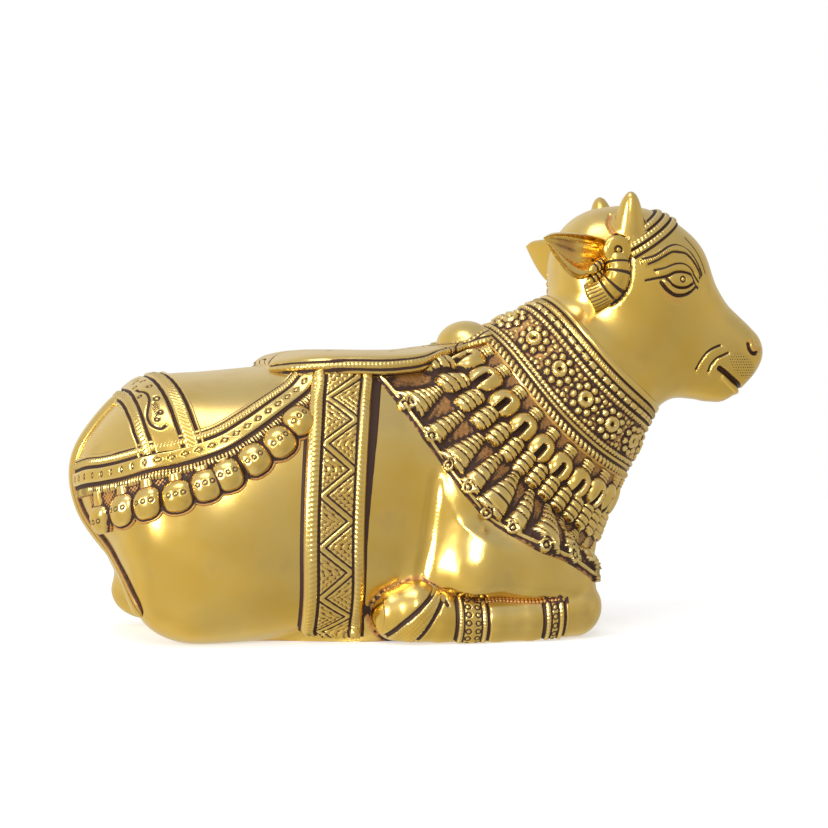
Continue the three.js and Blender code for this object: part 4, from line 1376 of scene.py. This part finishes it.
class Paint:
    """A material, or the light of the room, and the nodes that feed its shader."""

    def __init__(self, owner, shader, coordinate):
        owner.use_nodes = True
        self.tree = owner.node_tree
        self.shader = self.tree.nodes[shader]
        self.place = self.node("ShaderNodeTexCoord", {}, {}, coordinate)

    def feed(self, socket, value):
        if isinstance(value, Wire):
            self.tree.links.new(value.socket, socket)
        else:
            socket.default_value = value

    def node(self, kind, settings, values, output=0):
        made = self.tree.nodes.new(kind)
        for name, value in settings.items():
            setattr(made, name, value)
        for name, value in values.items():
            self.feed(made.inputs[name], value)
        return Wire(self, made.outputs[output])

    def sum(self, operation, first, second):
        return self.node("ShaderNodeMath", {"operation": operation}, {0: first, 1: second})

    def mix(self, first, second, share):
        values = {0: share, 6: first, 7: second}
        return self.node("ShaderNodeMix", {"data_type": "RGBA"}, values, 2)

    def step(self, value, low, high):
        values = {"Value": value, "From Min": low, "From Max": high}
        return self.node("ShaderNodeMapRange", {"interpolation_type": "SMOOTHSTEP"}, values)

    def noise(self, size, detail=2.0, stretch=(1, 1, 1)):
        """Uneven value about a half, its features as large as size in metres."""
        scaled = self.node("ShaderNodeVectorMath", {"operation": "MULTIPLY"}, {0: self.place, 1: stretch})
        return self.node("ShaderNodeTexNoise", {}, {"Vector": scaled, "Scale": 1 / size, "Detail": detail})

    def mark(self, name):
        return self.node("ShaderNodeAttribute", {"attribute_name": name}, {}, "Fac")


# Stage

SKY_LIGHT = (0.98, 1.0, 1.08, 1)
ROOM_LIGHT = (1.0, 0.96, 0.83, 1)
WHITE = (1, 1, 1, 1)
PAPER_GREY = (0.7, 0.7, 0.7, 1)
# Half the floor's width, and where it fades into the background, in metres
FLOOR_REACH = 1.2
FADE_START, FADE_END = 0.28, 1.1
# The width of the photo and the lens in pixels, and the sensor in millimetres
PICTURE_WIDTH = 828
FOCAL_LENGTH = 2278
SENSOR_WIDTH = 36
# The camera: degrees from square to the side, then metres
CAMERA_TURN = -14
CAMERA_DISTANCE, CAMERA_HEIGHT = 0.95, 0.122
CAMERA_TARGET = (-0.005, 0, 0.089)


def stage():
    scene = bpy.context.scene
    floor = bpy.data.meshes.new("floor")
    corners = [(x * FLOOR_REACH, y * FLOOR_REACH, 0) for x, y in ((-1, -1), (1, -1), (1, 1), (-1, 1))]
    floor.from_pydata(corners, [], [(0, 1, 2, 3)])
    ground = bpy.data.objects.new("floor", floor)
    scene.collection.objects.link(ground)
    ground.visible_glossy = False
    material = bpy.data.materials.new("pale floor")
    paper = Paint(material, "Principled BSDF", "Object")
    paper.feed(paper.shader.inputs["Base Color"], PAPER_GREY)
    paper.feed(paper.shader.inputs["Roughness"], 0.95)
    paper.feed(paper.shader.inputs["Specular IOR Level"], 0.1)
    paper.feed(paper.shader.inputs["Emission Color"], WHITE)
    paper.feed(paper.shader.inputs["Emission Strength"], 0.5)
    away = paper.node("ShaderNodeVectorMath", {"operation": "LENGTH"}, {0: paper.place}, "Value")
    paper.feed(paper.shader.inputs["Alpha"], 1 - paper.step(away, FADE_START, FADE_END))
    floor.materials.append(material)
    scene.view_settings.view_transform = "Standard"


def room():
    """Studio light: cool from above, warmer round about, brighter at the back and the left."""
    world = bpy.data.worlds.new("studio")
    bpy.context.scene.world = world
    air = Paint(world, "Background", "Generated")
    axes = [air.node("ShaderNodeSeparateXYZ", {}, {0: air.place}, axis) for axis in range(3)]
    high = air.step(axes[2], 0.1, 0.85)
    right = air.step(axes[0], -0.5, 0.7)
    behind = air.step(axes[1], -0.2, 0.9)
    tint = air.mix(ROOM_LIGHT, SKY_LIGHT, high)
    uneven = air.noise(0.7, 1.0)
    power = (0.62 + 0.12 * behind + 0.36 * uneven) * (1 - 0.29 * right)
    seen = air.node("ShaderNodeLightPath", {}, {}, "Is Camera Ray")
    air.feed(air.shader.inputs["Color"], air.mix(tint, WHITE, seen))
    air.feed(air.shader.inputs["Strength"], power * (1 - seen) + seen)


def lamp(name, place, aim, size, power):
    data = bpy.data.lights.new(name, "AREA")
    data.shape = "RECTANGLE"
    data.size, data.size_y = size
    data.energy = power
    lamp_object = bpy.data.objects.new(name, data)
    lamp_object.location = place
    direction = Vector(aim) - Vector(place)
    lamp_object.rotation_euler = direction.to_track_quat("-Z", "Y").to_euler()
    bpy.context.scene.collection.objects.link(lamp_object)


def camera():
    data = bpy.data.cameras.new("camera")
    turn = math.radians(CAMERA_TURN)
    target = Vector(CAMERA_TARGET)
    beside = math.sin(turn) * CAMERA_DISTANCE
    place = Vector((target.x + beside, -math.cos(turn) * CAMERA_DISTANCE, CAMERA_HEIGHT))
    data.sensor_width = SENSOR_WIDTH
    data.lens = SENSOR_WIDTH * FOCAL_LENGTH / PICTURE_WIDTH
    data.clip_start = 0.01
    viewer = bpy.data.objects.new("camera", data)
    viewer.location = place
    viewer.rotation_euler = (target - place).to_track_quat("-Z", "Y").to_euler()
    bpy.context.scene.collection.objects.link(viewer)
    bpy.context.scene.camera = viewer


# Face: lines and forms drawn in the side view, x and z, the same on both sides

BROW_TOP = [(86.6, 153.6), (92, 154.9), (98.8, 158.8), (103.3, 159.6), (107.2, 158.2), (110.1, 155.2),
            (112.6, 151), (114.3, 146.8)]
BROW_FOOT = [(88.8, 151.3), (92.5, 152.7), (96.9, 155), (100.3, 156.5), (103.7, 156.4), (106.7, 155.7),
             (109.6, 153.1), (112.1, 149.3), (113.5, 145.9)]
LID_FOLD = [(91.5, 148.9), (95.9, 149.8), (100.8, 151.5), (104.7, 151.8), (107.7, 150.6), (110.1, 147.6),
            (112.6, 144.2)]
UPPER_LID = [(87.6, 144.6), (93, 145.7), (97.4, 146.5), (100.8, 148), (104.7, 148.2), (108.2, 147.4),
             (109.6, 145.7), (111.1, 142.7), (112.3, 141.6)]
EYE_FOOT = [(96.9, 145.6), (99.3, 142.9), (102.8, 141.7), (106.2, 141.8), (109.4, 143.4)]
UNDER_EYE = [(94.4, 143.8), (96.9, 140.8), (100.8, 138.6), (104.7, 138.6), (108.2, 140), (110.5, 141.8)]
FOREHEAD_EDGE = [(108.5, 163), (112.3, 158.8), (115.2, 153.8), (117, 148)]
POLL_GROOVE = [(76.4, 172), (74.6, 168.5), (75.8, 164.4), (78.4, 161.8)]
MOUTH = [(124.6, 107.7), (126.6, 106.4), (130.4, 103.4), (134.6, 100.4), (137, 98.6)]
NOSTRIL = [(138.3, 118.1), (138.6, 116.3), (139.7, 114.7), (140.9, 114.1), (142.3, 114.3)]
CREASES = [
    [(113.2, 107.4), (115, 111), (117.4, 114.1), (120.4, 116.1), (124.3, 117.6)],
    [(119.4, 106.6), (120.4, 109.5), (122.8, 112), (125.4, 113.2), (128.2, 114.4)],
]
PUPIL = (103.9, 145.1)
EYEBALL, EYEBALL_HALVES = (103.2, 145), (6.4, 3.3)
CHIN = (135.5, 108.8)
LID = [(94, 147.6), (99.5, 149.6), (104.7, 150.2), (108.6, 148.7)]
UNDER_EYE_SHADE = [(95, 141), (99, 137), (103, 136.3)]
EAR_SEAT = [(76.6, 163.4), (79.4, 161.6), (81, 158), (80.8, 150), (80, 143), (77.2, 138), (73.6, 135)]


def midway(first, second):
    """The line between two lines, point by point."""
    return [((a + c) / 2, (b + d) / 2) for (a, b), (c, d) in zip(first, second)]


def shifted(line, x, z):
    return [(a + x, b + z) for a, b in line]


def face_relief(p):
    """The chasing of the face at points of the head's skin."""
    x, z = p[:, 0], p[:, 2]
    off_middle = np.abs(p[:, 1])
    aside = ease(4, 7, off_middle)
    relief = Relief(x.shape)
    curve = lambda line: to_polyline(x, z, smooth_flat(line))

    def swell(line, half, height):
        relief.height += height * np.sqrt(cut(curve(line), half)) * aside

    def roll(line, half, height, where=aside):
        relief.height += height * cut(curve(line), half) * where

    def carve(line, half, depth, tone=1.0, where=aside):
        relief.carve(cut(curve(line), half) * where, depth, tone)

    def warmed(line, half, tone):
        relief.warm = np.maximum(relief.warm, tone * cut(curve(line), half) * aside)

    brow = midway(BROW_TOP, BROW_FOOT)
    swell(brow, 2.1, 1.0)
    hatch = 0.5 + 0.5 * ripple(x + 0.4 * z, 0.95)
    relief.carve(hatch * cut(curve(brow), 1.2) * ease(101, 98, x) * aside, 0.35, 0.7)
    swell(LID, 1.8, 0.6)
    ball = np.hypot((x - EYEBALL[0]) / EYEBALL_HALVES[0], (z - EYEBALL[1]) / EYEBALL_HALVES[1])
    relief.height += rounded(ball, 1, 1.1) * aside
    lower_lid = midway(EYE_FOOT, UNDER_EYE[1:])
    swell([(96, 143.6), *lower_lid[1:-1], (109.8, 142)], 1.3, 0.8)
    carve(BROW_TOP, 0.7, 0.6)
    carve(BROW_FOOT, 0.65, 0.6)
    carve(LID_FOLD, 0.6, 0.5)
    carve(UPPER_LID, 0.7, 0.7)
    carve(EYE_FOOT, 0.7, 0.7)
    carve(UNDER_EYE, 0.95, 0.9)
    # Copper brown under the eye: painted shade
    warmed(UNDER_EYE_SHADE, 3, 0.5)
    away = np.hypot(x - PUPIL[0], z - PUPIL[1])
    relief.carve(cut(away - 1.15, 0.45) * aside, 0.5, 1.0)
    relief.height += rounded(away, 0.7, 0.35) * aside
    carve(FOREHEAD_EDGE, 0.5, 0.4, 0.8, ease(9, 12, off_middle))
    roll(POLL_GROOVE, 1.0, -0.7)
    warmed(POLL_GROOVE, 1.0, 0.9)
    # A groove round the seat of the ear ornament, painted dark all along as the shadow at its edge
    carve(EAR_SEAT, 1.25, 0.7)
    lips = ease(1, 3, off_middle)
    carve(MOUTH, 1.35, 1.8, 1.3, lips)
    roll(shifted(MOUTH[1:], 0.5, -2.4), 1.6, 0.7, lips)
    carve(NOSTRIL, 1.05, 1.3, 1.2)
    roll(shifted(NOSTRIL, 1.9, 1.6), 1.9, 0.6)
    warmed(shifted(NOSTRIL, 1.2, 1.4), 2.2, 0.5)
    for line in CREASES:
        carve(line, 0.65, 0.7)
        roll(shifted(line, 1.0, -1.1), 1.2, 0.45)
    pitch = 1.15
    row = np.round(z / pitch)
    dots = cut(np.hypot(off_nearest(x + row * pitch / 2, pitch), z - row * pitch), 0.45)
    lean = (x - CHIN[0]) * 0.4 + (z - CHIN[1])
    chin = ease(1.05, 0.9, np.hypot((x - CHIN[0]) / 6.8, lean / 5.0))
    clear = ease(1.6, 2.4, curve(NOSTRIL)) * ease(1.6, 2.4, curve(MOUTH)) * ease(2, 4, off_middle)
    relief.carve(dots * chin * clear, 0.3, 0.9)
    return relief


# Tail: a flat round strip laid on the rump, carried over to the right heel, with a line on each side

TAIL_HALF, TAIL_TIP_HALF, TAIL_THICK = 5.6, 4.4, 2.4
TAIL_LINE = [
    (-118, 0, 101),
    (-134, 0, 88),
    (-142.5, 0, 77),
    (-146, 0, 66),
    (-144, -4, 54),
    (-140, -11, 43),
    (-135, -21, 31.5),
    (-129, -31, 20),
    (-124, -38, 9),
]


def tail():
    skin = flank_cast(even_line(TAIL_LINE, 0.8), TRUNK)
    outward = unit(slope(skin, TRUNK)[1])
    for _ in range(30):
        for track in (skin, outward):
            track[1:-1] = (track[:-2] + 2 * track[1:-1] + track[2:]) / 4
    run = run_along(skin)[:, None]
    across = unit(np.cross(outward, np.gradient(skin, axis=0)))
    turn = full_turn(72)
    side, face = np.sin(turn), np.cos(turn)
    end = np.sqrt(np.clip(1 - np.clip((run - run[-1] + 6) / 6, 0, 1) ** 2, 0.0004, 1))
    half = (TAIL_HALF + (TAIL_TIP_HALF - TAIL_HALF) * ease(60, 120, run)) * end
    groove = cut(np.abs(side) - 0.62, 0.1) * (face > 0)
    lift = (TAIL_THICK * end - 0.5 * groove) * face - 4.5 * ease(16, 0, run)
    points = skin[:, None] + lift[..., None] * outward[:, None] + (half * side)[..., None] * across[:, None]
    points[..., 2] = np.maximum(points[..., 2], 0.3)
    low = ease(30, 60, run)
    # Darker and copper brown along both edges: painted shade where the tail lies on the rump
    marks = {
        "dark": np.maximum(0.45 * ease(0.9, 0.98, np.abs(side)), 0.7 * groove) * low,
        "warm": ease(0.75, 0.95, np.abs(side)) * low,
    }
    return add_tube("tail", points, marks)


# The figure: the skin with the step of its arm and the chasing of its face

GRID_LOW, GRID_HIGH, GRID_STEP = (-152.5, -66, -3), (152.5, 66, 186), 1.8
LONG_EDGE, MIDDLE_EDGE, SHORT_EDGE, EYE_EDGE = 3.0, 1.35, 0.5, 0.36
# Where the skin is finer: reach in x and in z, least distance from the middle plane, longest edge
FINE_ZONES = {
    "eye": ((85, 119), (135, 164), 4, EYE_EDGE),
    "muzzle": ((111, 145), (97, 119.5), 4, EYE_EDGE),
    "poll": ((72, 81), (159, 176), 6, SHORT_EDGE),
    "saddle": ((-74, 30), (101, 190), -1, MIDDLE_EDGE),
    "arm": ((-34, 12), (-10, 72), 36, MIDDLE_EDGE),
    "leg": ((-34, 52), (-10, 24), 36, MIDDLE_EDGE),
}
GROUND = 0.4
ARM_ROUNDS = 160
NECK_SPLIT = 30
# Rear edge of the upper arm in the side view: x, z
ARM_EDGE = [(-3.5, 72), (-7, 64.6), (-8.4, 56.7), (-9.6, 48.8), (-11.1, 38.9), (-12.9, 30.9), (-14.5, 22)]


def below_chest(p):
    """How far below the lower edge of the chest sheet."""
    nape_ward = ((p[:, 2] - NECK_FOOT[1]) - (p[:, 0] - NECK_FOOT[0])) * SLANT
    angle = np.degrees(np.arctan2(np.abs(p[:, 1]), nape_ward))
    return bell_mouth(angle) - CHEST_MARGIN - up_neck(p)


def arm_fold(p):
    """Step of the skin along the rear edge of the upper arm."""
    x, z = p[:, 0], p[:, 2]
    upward = ARM_EDGE[::-1]
    edge = np.interp(z, [b for _, b in upward], [a for a, _ in upward])
    past = x - edge
    level = ease(-1, 8, below_chest(p)) * ease(16, 24, z) * ease(34, 42, np.abs(p[:, 1])) * (x < 40)
    return level * (3.7 * ease(-3, 16, past) * ease(42, 20, past) - 1.0 * cut(past + 1.6, 3.0))


def up_neck(p):
    """Distance up the neck from its foot."""
    return ((p[:, 0] - NECK_FOOT[0]) + (p[:, 2] - NECK_FOOT[1])) * SLANT


def upper_arm(p):
    """One in the middle of the arm's broad outer side, falling to nothing round it."""
    x, z = p[:, 0], p[:, 2]
    level = ease(-24, -14, x) * ease(52, 42, x) * ease(20, 27, z) * ease(34, 42, np.abs(p[:, 1]))
    return level * ease(-3, 4, below_chest(p))


def edge_length(p):
    """How long the sides of the skin's triangles may be."""
    x, z, aside = p[:, 0], p[:, 2], np.abs(p[:, 1])
    length = np.where((up_neck(p) > 52) | (x > 66), MIDDLE_EDGE, LONG_EDGE)
    for (rear, front), (low, high), off, limit in FINE_ZONES.values():
        inside = (x > rear) & (x < front) & (z > low) & (z < high) & (aside > off)
        length = np.where(inside, np.minimum(length, limit), length)
    return length


def smooth_directions(points, faces):
    """Outward directions of the vertices, from the triangles round them."""
    a, b, c = points[faces[:, 0]], points[faces[:, 1]], points[faces[:, 2]]
    square = np.cross(b - a, c - a)
    sums = [sum(np.bincount(faces[:, k], square[:, i], len(points)) for k in range(3)) for i in range(3)]
    total = np.stack(sums, 1)
    return unit(total)


def creased(points, outward):
    """How shut in a point of the skin is: nothing in the open, one deep in a crease."""
    shut = np.zeros(len(points))
    for reach, share in ((2.0, 0.5), (6.0, 0.5)):
        shut += share * np.clip(1 - field(points + reach * outward) / reach, 0, 1)
    return shut


def figure():
    """Skin of the animal, with the step of the arm and the chased face, in two pieces."""
    points, quads = skin_of_grid(GRID_LOW, GRID_HIGH, GRID_STEP)
    faces = np.concatenate([quads[:, [0, 1, 2]], quads[:, [0, 2, 3]]])
    points, faces = finer(points, faces, edge_length, 3)
    grounded = points[:, 2] < GROUND
    points = relaxed(points, faces, 2, (~grounded).astype(float))
    settled, outward = settle(points, 2)
    points = np.where(grounded[:, None], points, settled)
    points[:, 2] = np.maximum(points[:, 2], 0)
    shut = creased(points, outward)
    arm = upper_arm(points)
    kept, number = np.unique(faces[(arm[faces] > 0).any(1)], return_inverse=True)
    points[kept] = relaxed(points[kept], number.reshape(-1, 3), ARM_ROUNDS, arm[kept])
    outward = np.where(points[:, 2:] < 0.02, (0, 0, -1), outward)
    height = arm_fold(points)
    # Dark and copper brown in the creases of the skin: old grime and patina, and painted shade
    dark = ease(0.62, 0.95, shut)
    warm = ease(0.3, 0.7, shut)
    face = (points[:, 0] > 64) & (points[:, 2] > 94)
    relief = face_relief(points[face])
    height[face] += relief.height
    dark[face] = np.maximum(dark[face], relief.dark)
    warm[face] = np.maximum(warm[face], relief.warm)
    points = points + height[:, None] * outward
    touched = ((np.abs(height) > 0.005) | (arm > 0))[faces].any(1)
    carved = np.zeros(len(points), bool)
    carved[faces[touched]] = True
    outward = np.where(carved[:, None], smooth_directions(points, faces), outward)
    upper = up_neck(points[faces].mean(1)) > NECK_SPLIT
    for name, part in (("figure_head", faces[upper]), ("figure_body", faces[~upper])):
        kept, number = np.unique(part, return_inverse=True)
        marks = {"dark": dark[kept], "warm": warm[kept]}
        add_piece(name, points[kept], number.reshape(-1, 3), marks, outward[kept])


# Band over the forehead, in front of the horns: three hatched rows between dark lines

BAND_FOOT, BAND_RISE, BAND_AHEAD = (77.2, 0, 156), (22, 0, 21), (21, 0, -22)
BAND_RADIUS = 6.6
BAND_HALF = 6.4
BAND_TURN = 84


def brow_band():
    rise, ahead = unit(np.array(BAND_RISE)), unit(np.array(BAND_AHEAD))
    rows, columns = 38, 190
    angle = np.radians(np.linspace(-BAND_TURN, BAND_TURN, columns))
    across = np.linspace(-BAND_HALF, BAND_HALF, rows)[:, None]
    inner = BAND_FOOT + (across + BAND_RADIUS * np.cos(angle))[..., None] * ahead
    outward = np.cos(angle)[:, None] * rise + np.sin(angle)[:, None] * (0, 1, 0)
    outward = np.broadcast_to(outward, inner.shape)
    sheet = Sheet("brow_band", cast(inner, outward, [HEAD], 60), False)
    sheet.face(outward)
    v = np.broadcast_to(across, (rows, columns))
    s = np.cumsum(np.linalg.norm(sheet.along, axis=-1), 1)
    relief = Relief(v.shape, 0.8)
    for row in (-3.3, 0, 3.3):
        relief.lay(0.8 + rope_row(s, v - row, 1.3, 0.7, 1.9, 0.7))
    for line, half in ((-5.0, 1.0), (-1.65, 0.7), (1.65, 0.7), (4.95, 0.7)):
        relief.carve(cut(v - line, half), 0.6, 1.0)
    return sheet.raised(relief, BAND_HALF - 0.2 - np.abs(v))


# Ears: hollow leaves with a thick rim, the left one standing out more

EAR_ROOT = (70, 22, 157)
EAR_TIP = {-1: (39, 40, 161.2), 1: (57, 44, 161)}
# Rows: share of the way to the tip, height above and below the line, thickness
EAR_ROWS = [
    (-0.2, 5, 5, 4),
    (0, 5, 6.5, 4.6),
    (0.2, 5, 12, 5),
    (0.45, 4.2, 14.6, 4.8),
    (0.7, 3.3, 10.4, 3.8),
    (0.88, 2.1, 4.6, 2.5),
    (1.0, 0.2, 0.3, 0.3),
]


def ear(side):
    root, tip = (np.array(place) * (1, side, 1) for place in (EAR_ROOT, EAR_TIP[side]))
    upward = np.array([0, 0, 1.0])
    face = side * unit(np.cross(tip - root, upward))
    rows, columns = 84, 96
    table = np.array(EAR_ROWS)
    t = np.linspace(table[0, 0], 1, rows)[:, None]
    above, below, thick = (bend(table[:, 0], table[:, k])(t) for k in (1, 2, 3))
    turn = full_turn(columns)
    share = np.sin(turn) * np.ones((rows, 1))
    front = np.cos(turn) > 0
    round_off = np.sqrt(np.clip(1 - share ** 2, 0, 1))
    rim = np.exp(-((np.abs(share) - 0.8) / 0.16) ** 2)
    hollow = np.exp(-((share + 0.12) / 0.5) ** 4) * ease(0.02, 0.25, t) * ease(1, 0.86, t)
    deep = hollow * front
    veins = np.cos(share * 17 + 1.2 * t) * deep
    inside = round_off * 0.1 + rim * 0.55 * np.minimum(round_off * 2.2, 1) - 0.12 * hollow
    out = np.where(front, inside, -0.6 * round_off) * thick + 0.16 * veins
    rise = np.where(share > 0, share * above, share * below) + 0.66 * np.sin(np.clip(t, 0, 1) * np.pi)
    points = root + t[..., None] * (tip - root) + rise[..., None] * upward + out[..., None] * face
    shaded = ease(0.4, 0.55, t) * ease(0.9, 0.7, t)
    rubbed = ease(0.05, 0.2, t) * ease(0.5, 0.3, t)
    marks = {
        "dark": deep * (0.26 * shaded * ease(0.5, 0.0, np.abs(share)) + 0.25 * np.clip(-veins, 0, 1)),
        "warm": np.clip(deep * (0.3 + 0.25 * shaded), 0, 1),
        "worn": np.maximum(rim * front * 0.5, 0.8 * deep * rubbed * np.clip(veins, 0, 1)),
    }
    return add_tube("ear_" + SIDE_NAMES[side], points, marks)


# Ornament of the ear: a disc over the root, two sprigs, and a curled drop of rings that ends in a tuft

DROP_LINE = [
    (74.2, 27.5, 155, 4.2),
    (74.4, 28.4, 152, 5.0),
    (74.3, 29.2, 148, 5.3),
    (73, 29, 144, 5.6),
    (70, 27.4, 141, 6.0),
    (67, 25.6, 139, 6.3),
    (64.6, 24.4, 137.8, 6.3),
    (63.6, 24, 137.3, 5.6),
    (63, 23.8, 137, 2),
]
DROP_RINGS = (3.3, 7.2, 12.4, 15.8)
TUFT_START = 16.2
SPRIGS = [
    [(70, 25, 152.6, 2.4), (66.5, 27.5, 150.6, 2.3), (63, 29, 148.6, 1.8), (61.8, 29, 147.9, 0.5)],
    [(69.5, 25, 148, 2.4), (66, 26.5, 146, 2.2), (62.6, 27.5, 144, 1.7), (61.4, 27.5, 143.2, 0.5)],
]
SPRIG_RINGS = np.arange(2.5, 9, 2.2)
DISC_CENTRE = (74.2, 28, 157)
# Rows: distance from the middle of the disc, and height over its centre
DISC_PROFILE = [(6.2, -5), (6.0, 0.6), (5.5, 1.5), (4.6, 2.05), (3.2, 2.3), (2.1, 2.35), (1.6, 1.75),
                (1.2, 1.9), (0.9, 2.7), (0.5, 2.95), (0.02, 3.0)]


def ringed(name, side, line, rings, rows, columns, tuft=99):
    """A soft round form along a line, with dark grooves round it and a fringe past a given run.
    Rows of the line: x, y, z, radius."""
    swept = between(np.array(line) * (1, side, 1, 1), np.linspace(0, len(line) - 1, rows))
    middle, radius = swept[:, :3], swept[:, 3:]
    run = run_along(middle)[:, None]
    ahead = unit(np.gradient(middle, axis=0))
    across = unit(np.cross(ahead, (0, side, 0)))
    outward = np.cross(across, ahead)
    turn = full_turn(columns)
    size = radius * np.ones(columns)
    dark = np.zeros(size.shape)
    for at in rings:
        groove = cut(run - at, 0.7)
        size = size - 0.13 * radius * groove
        dark = np.maximum(dark, groove)
    fan = (0.5 + 0.5 * np.cos(turn * 22)) * ease(tuft, tuft + 1, run)
    size = size - 0.4 * fan
    dark = np.maximum(dark, 0.7 * fan)
    points = middle[:, None] + size[..., None] * (
        0.75 * np.cos(turn)[:, None] * outward[:, None] + np.sin(turn)[:, None] * across[:, None]
    )
    return add_tube(name + "_" + SIDE_NAMES[side], points, {"dark": dark})


def ear_ornament(side):
    ringed("ear_drop", side, DROP_LINE, DROP_RINGS, 120, 66, TUFT_START)
    for number, line in enumerate(SPRIGS, 1):
        ringed("ear_sprig_" + str(number), side, line, SPRIG_RINGS, 60, 32)
    rows, columns = 50, 60
    profile = between(np.array(DISC_PROFILE), np.linspace(0, len(DISC_PROFILE) - 1, rows))
    radius, rise = profile[:, :1], profile[:, 1:] * np.ones(columns)
    turn = full_turn(columns)
    centre = np.array(DISC_CENTRE) * (1, side, 1)
    points = centre + np.stack([radius * np.cos(turn), side * rise, radius * np.sin(turn)], -1)
    groove = cut(radius - 1.6, 0.5) * np.ones(columns)
    add_tube("ear_disc_" + SIDE_NAMES[side], points, {"dark": groove})


# Finish of the brass

GOLD = (0.76, 0.50, 0.105, 1)
PALE_GOLD = (0.78, 0.57, 0.19, 1)
WORN_GOLD = (0.88, 0.68, 0.30, 1)
DULL_FILM_AND_SKY_SHEEN = (0.72, 0.58, 0.29, 1)
COPPER_BROWN = (0.44, 0.18, 0.045, 1)
DIRT_AND_SHADE = (0.040, 0.014, 0.006, 1)


def brass():
    """Polished brass: paler on what faces up, a dull coat and a painted sky reflection; copper brown in
    hollows and near black in grooves, as patina and old grime and as painted shade.
    """
    material = bpy.data.materials.new("brass")
    paint = Paint(material, "Principled BSDF", "Object")
    dark, warm, worn = paint.mark("dark"), paint.mark("warm"), paint.mark("worn")
    clouds = paint.noise(0.045, 3.0)
    patches = paint.noise(0.012, 4.0)
    grain = paint.noise(0.0012, 2.0)
    facing = paint.node("ShaderNodeNewGeometry", {}, {}, "Normal")
    upward = paint.node("ShaderNodeSeparateXYZ", {}, {0: facing}, "Z")
    metal = paint.mix(GOLD, PALE_GOLD, paint.step(clouds + patches * 0.4, 0.5, 0.95))
    # Paler on what faces up: a dull coat, and a painted reflection of the bright sky
    film_and_sky_sheen = paint.step(upward + patches * 0.4, 0.3, 1.1)
    metal = paint.mix(metal, DULL_FILM_AND_SKY_SHEEN, film_and_sky_sheen * 0.3)
    metal = paint.mix(metal, WORN_GOLD, worn * 0.7)
    stain = paint.step(patches + clouds * 0.5, 0.78, 1.0)
    metal = paint.mix(metal, COPPER_BROWN, stain * 0.12)
    # Copper brown where the warm mark is: patina in the hollows, and painted shade
    recess = paint.step(warm + patches * 0.3 - worn * 0.6, 0.25, 0.95)
    metal = paint.mix(metal, COPPER_BROWN, recess * 0.85)
    # Near black where the dark mark is: old grime in grooves, and painted shade and shadow
    dirt_and_shade = paint.step(dark + warm * 0.2 + grain * 0.3, 0.32, 0.85)
    metal = paint.mix(metal, DIRT_AND_SHADE, dirt_and_shade)
    paint.feed(paint.shader.inputs["Base Color"], metal)
    paint.feed(paint.shader.inputs["Metallic"], 1 - dirt_and_shade * 0.8 - recess * 0.5 * (1 - dirt_and_shade))
    rough = 0.13 + patches * 0.13 + film_and_sky_sheen * 0.08 + recess * 0.15 + dirt_and_shade * 0.3
    paint.feed(paint.shader.inputs["Roughness"], rough)
    polish = paint.noise(0.02, 1.0)
    strokes = paint.noise(0.0016, 2.0, (0.25, 1, 1))
    relief = polish * 0.7 + strokes * 0.02 + grain * 0.006
    bump = paint.node("ShaderNodeBump", {}, {"Strength": 1.0, "Distance": 0.0001, "Height": relief}, "Normal")
    paint.feed(paint.shader.inputs["Normal"], bump)
    for piece in PIECES:
        piece.data.materials.append(material)


camera()
stage()
room()
lamp("left window", (-1.05, -0.75, 0.35), (0, 0, 0.08), (0.3, 0.5), 9)
lamp("front window", (-0.2, -0.95, 0.56), (0, 0, 0.05), (0.14, 0.36), 2.2)
lamp("top softbox", (-0.35, -0.5, 1.4), (0, 0, 0.08), (0.7, 0.5), 5)
figure()
tail()
brow_band()
saddle_pad()
lattice = neck_lattice()
collar(lattice)
pendants(lattice)
for side in (-1, 1):
    border(side)
    girth(side)
    rump_strap(side)
    leg_bands(side)
    crease_beads(side)
    ear(side)
    ear_ornament(side)
brass()
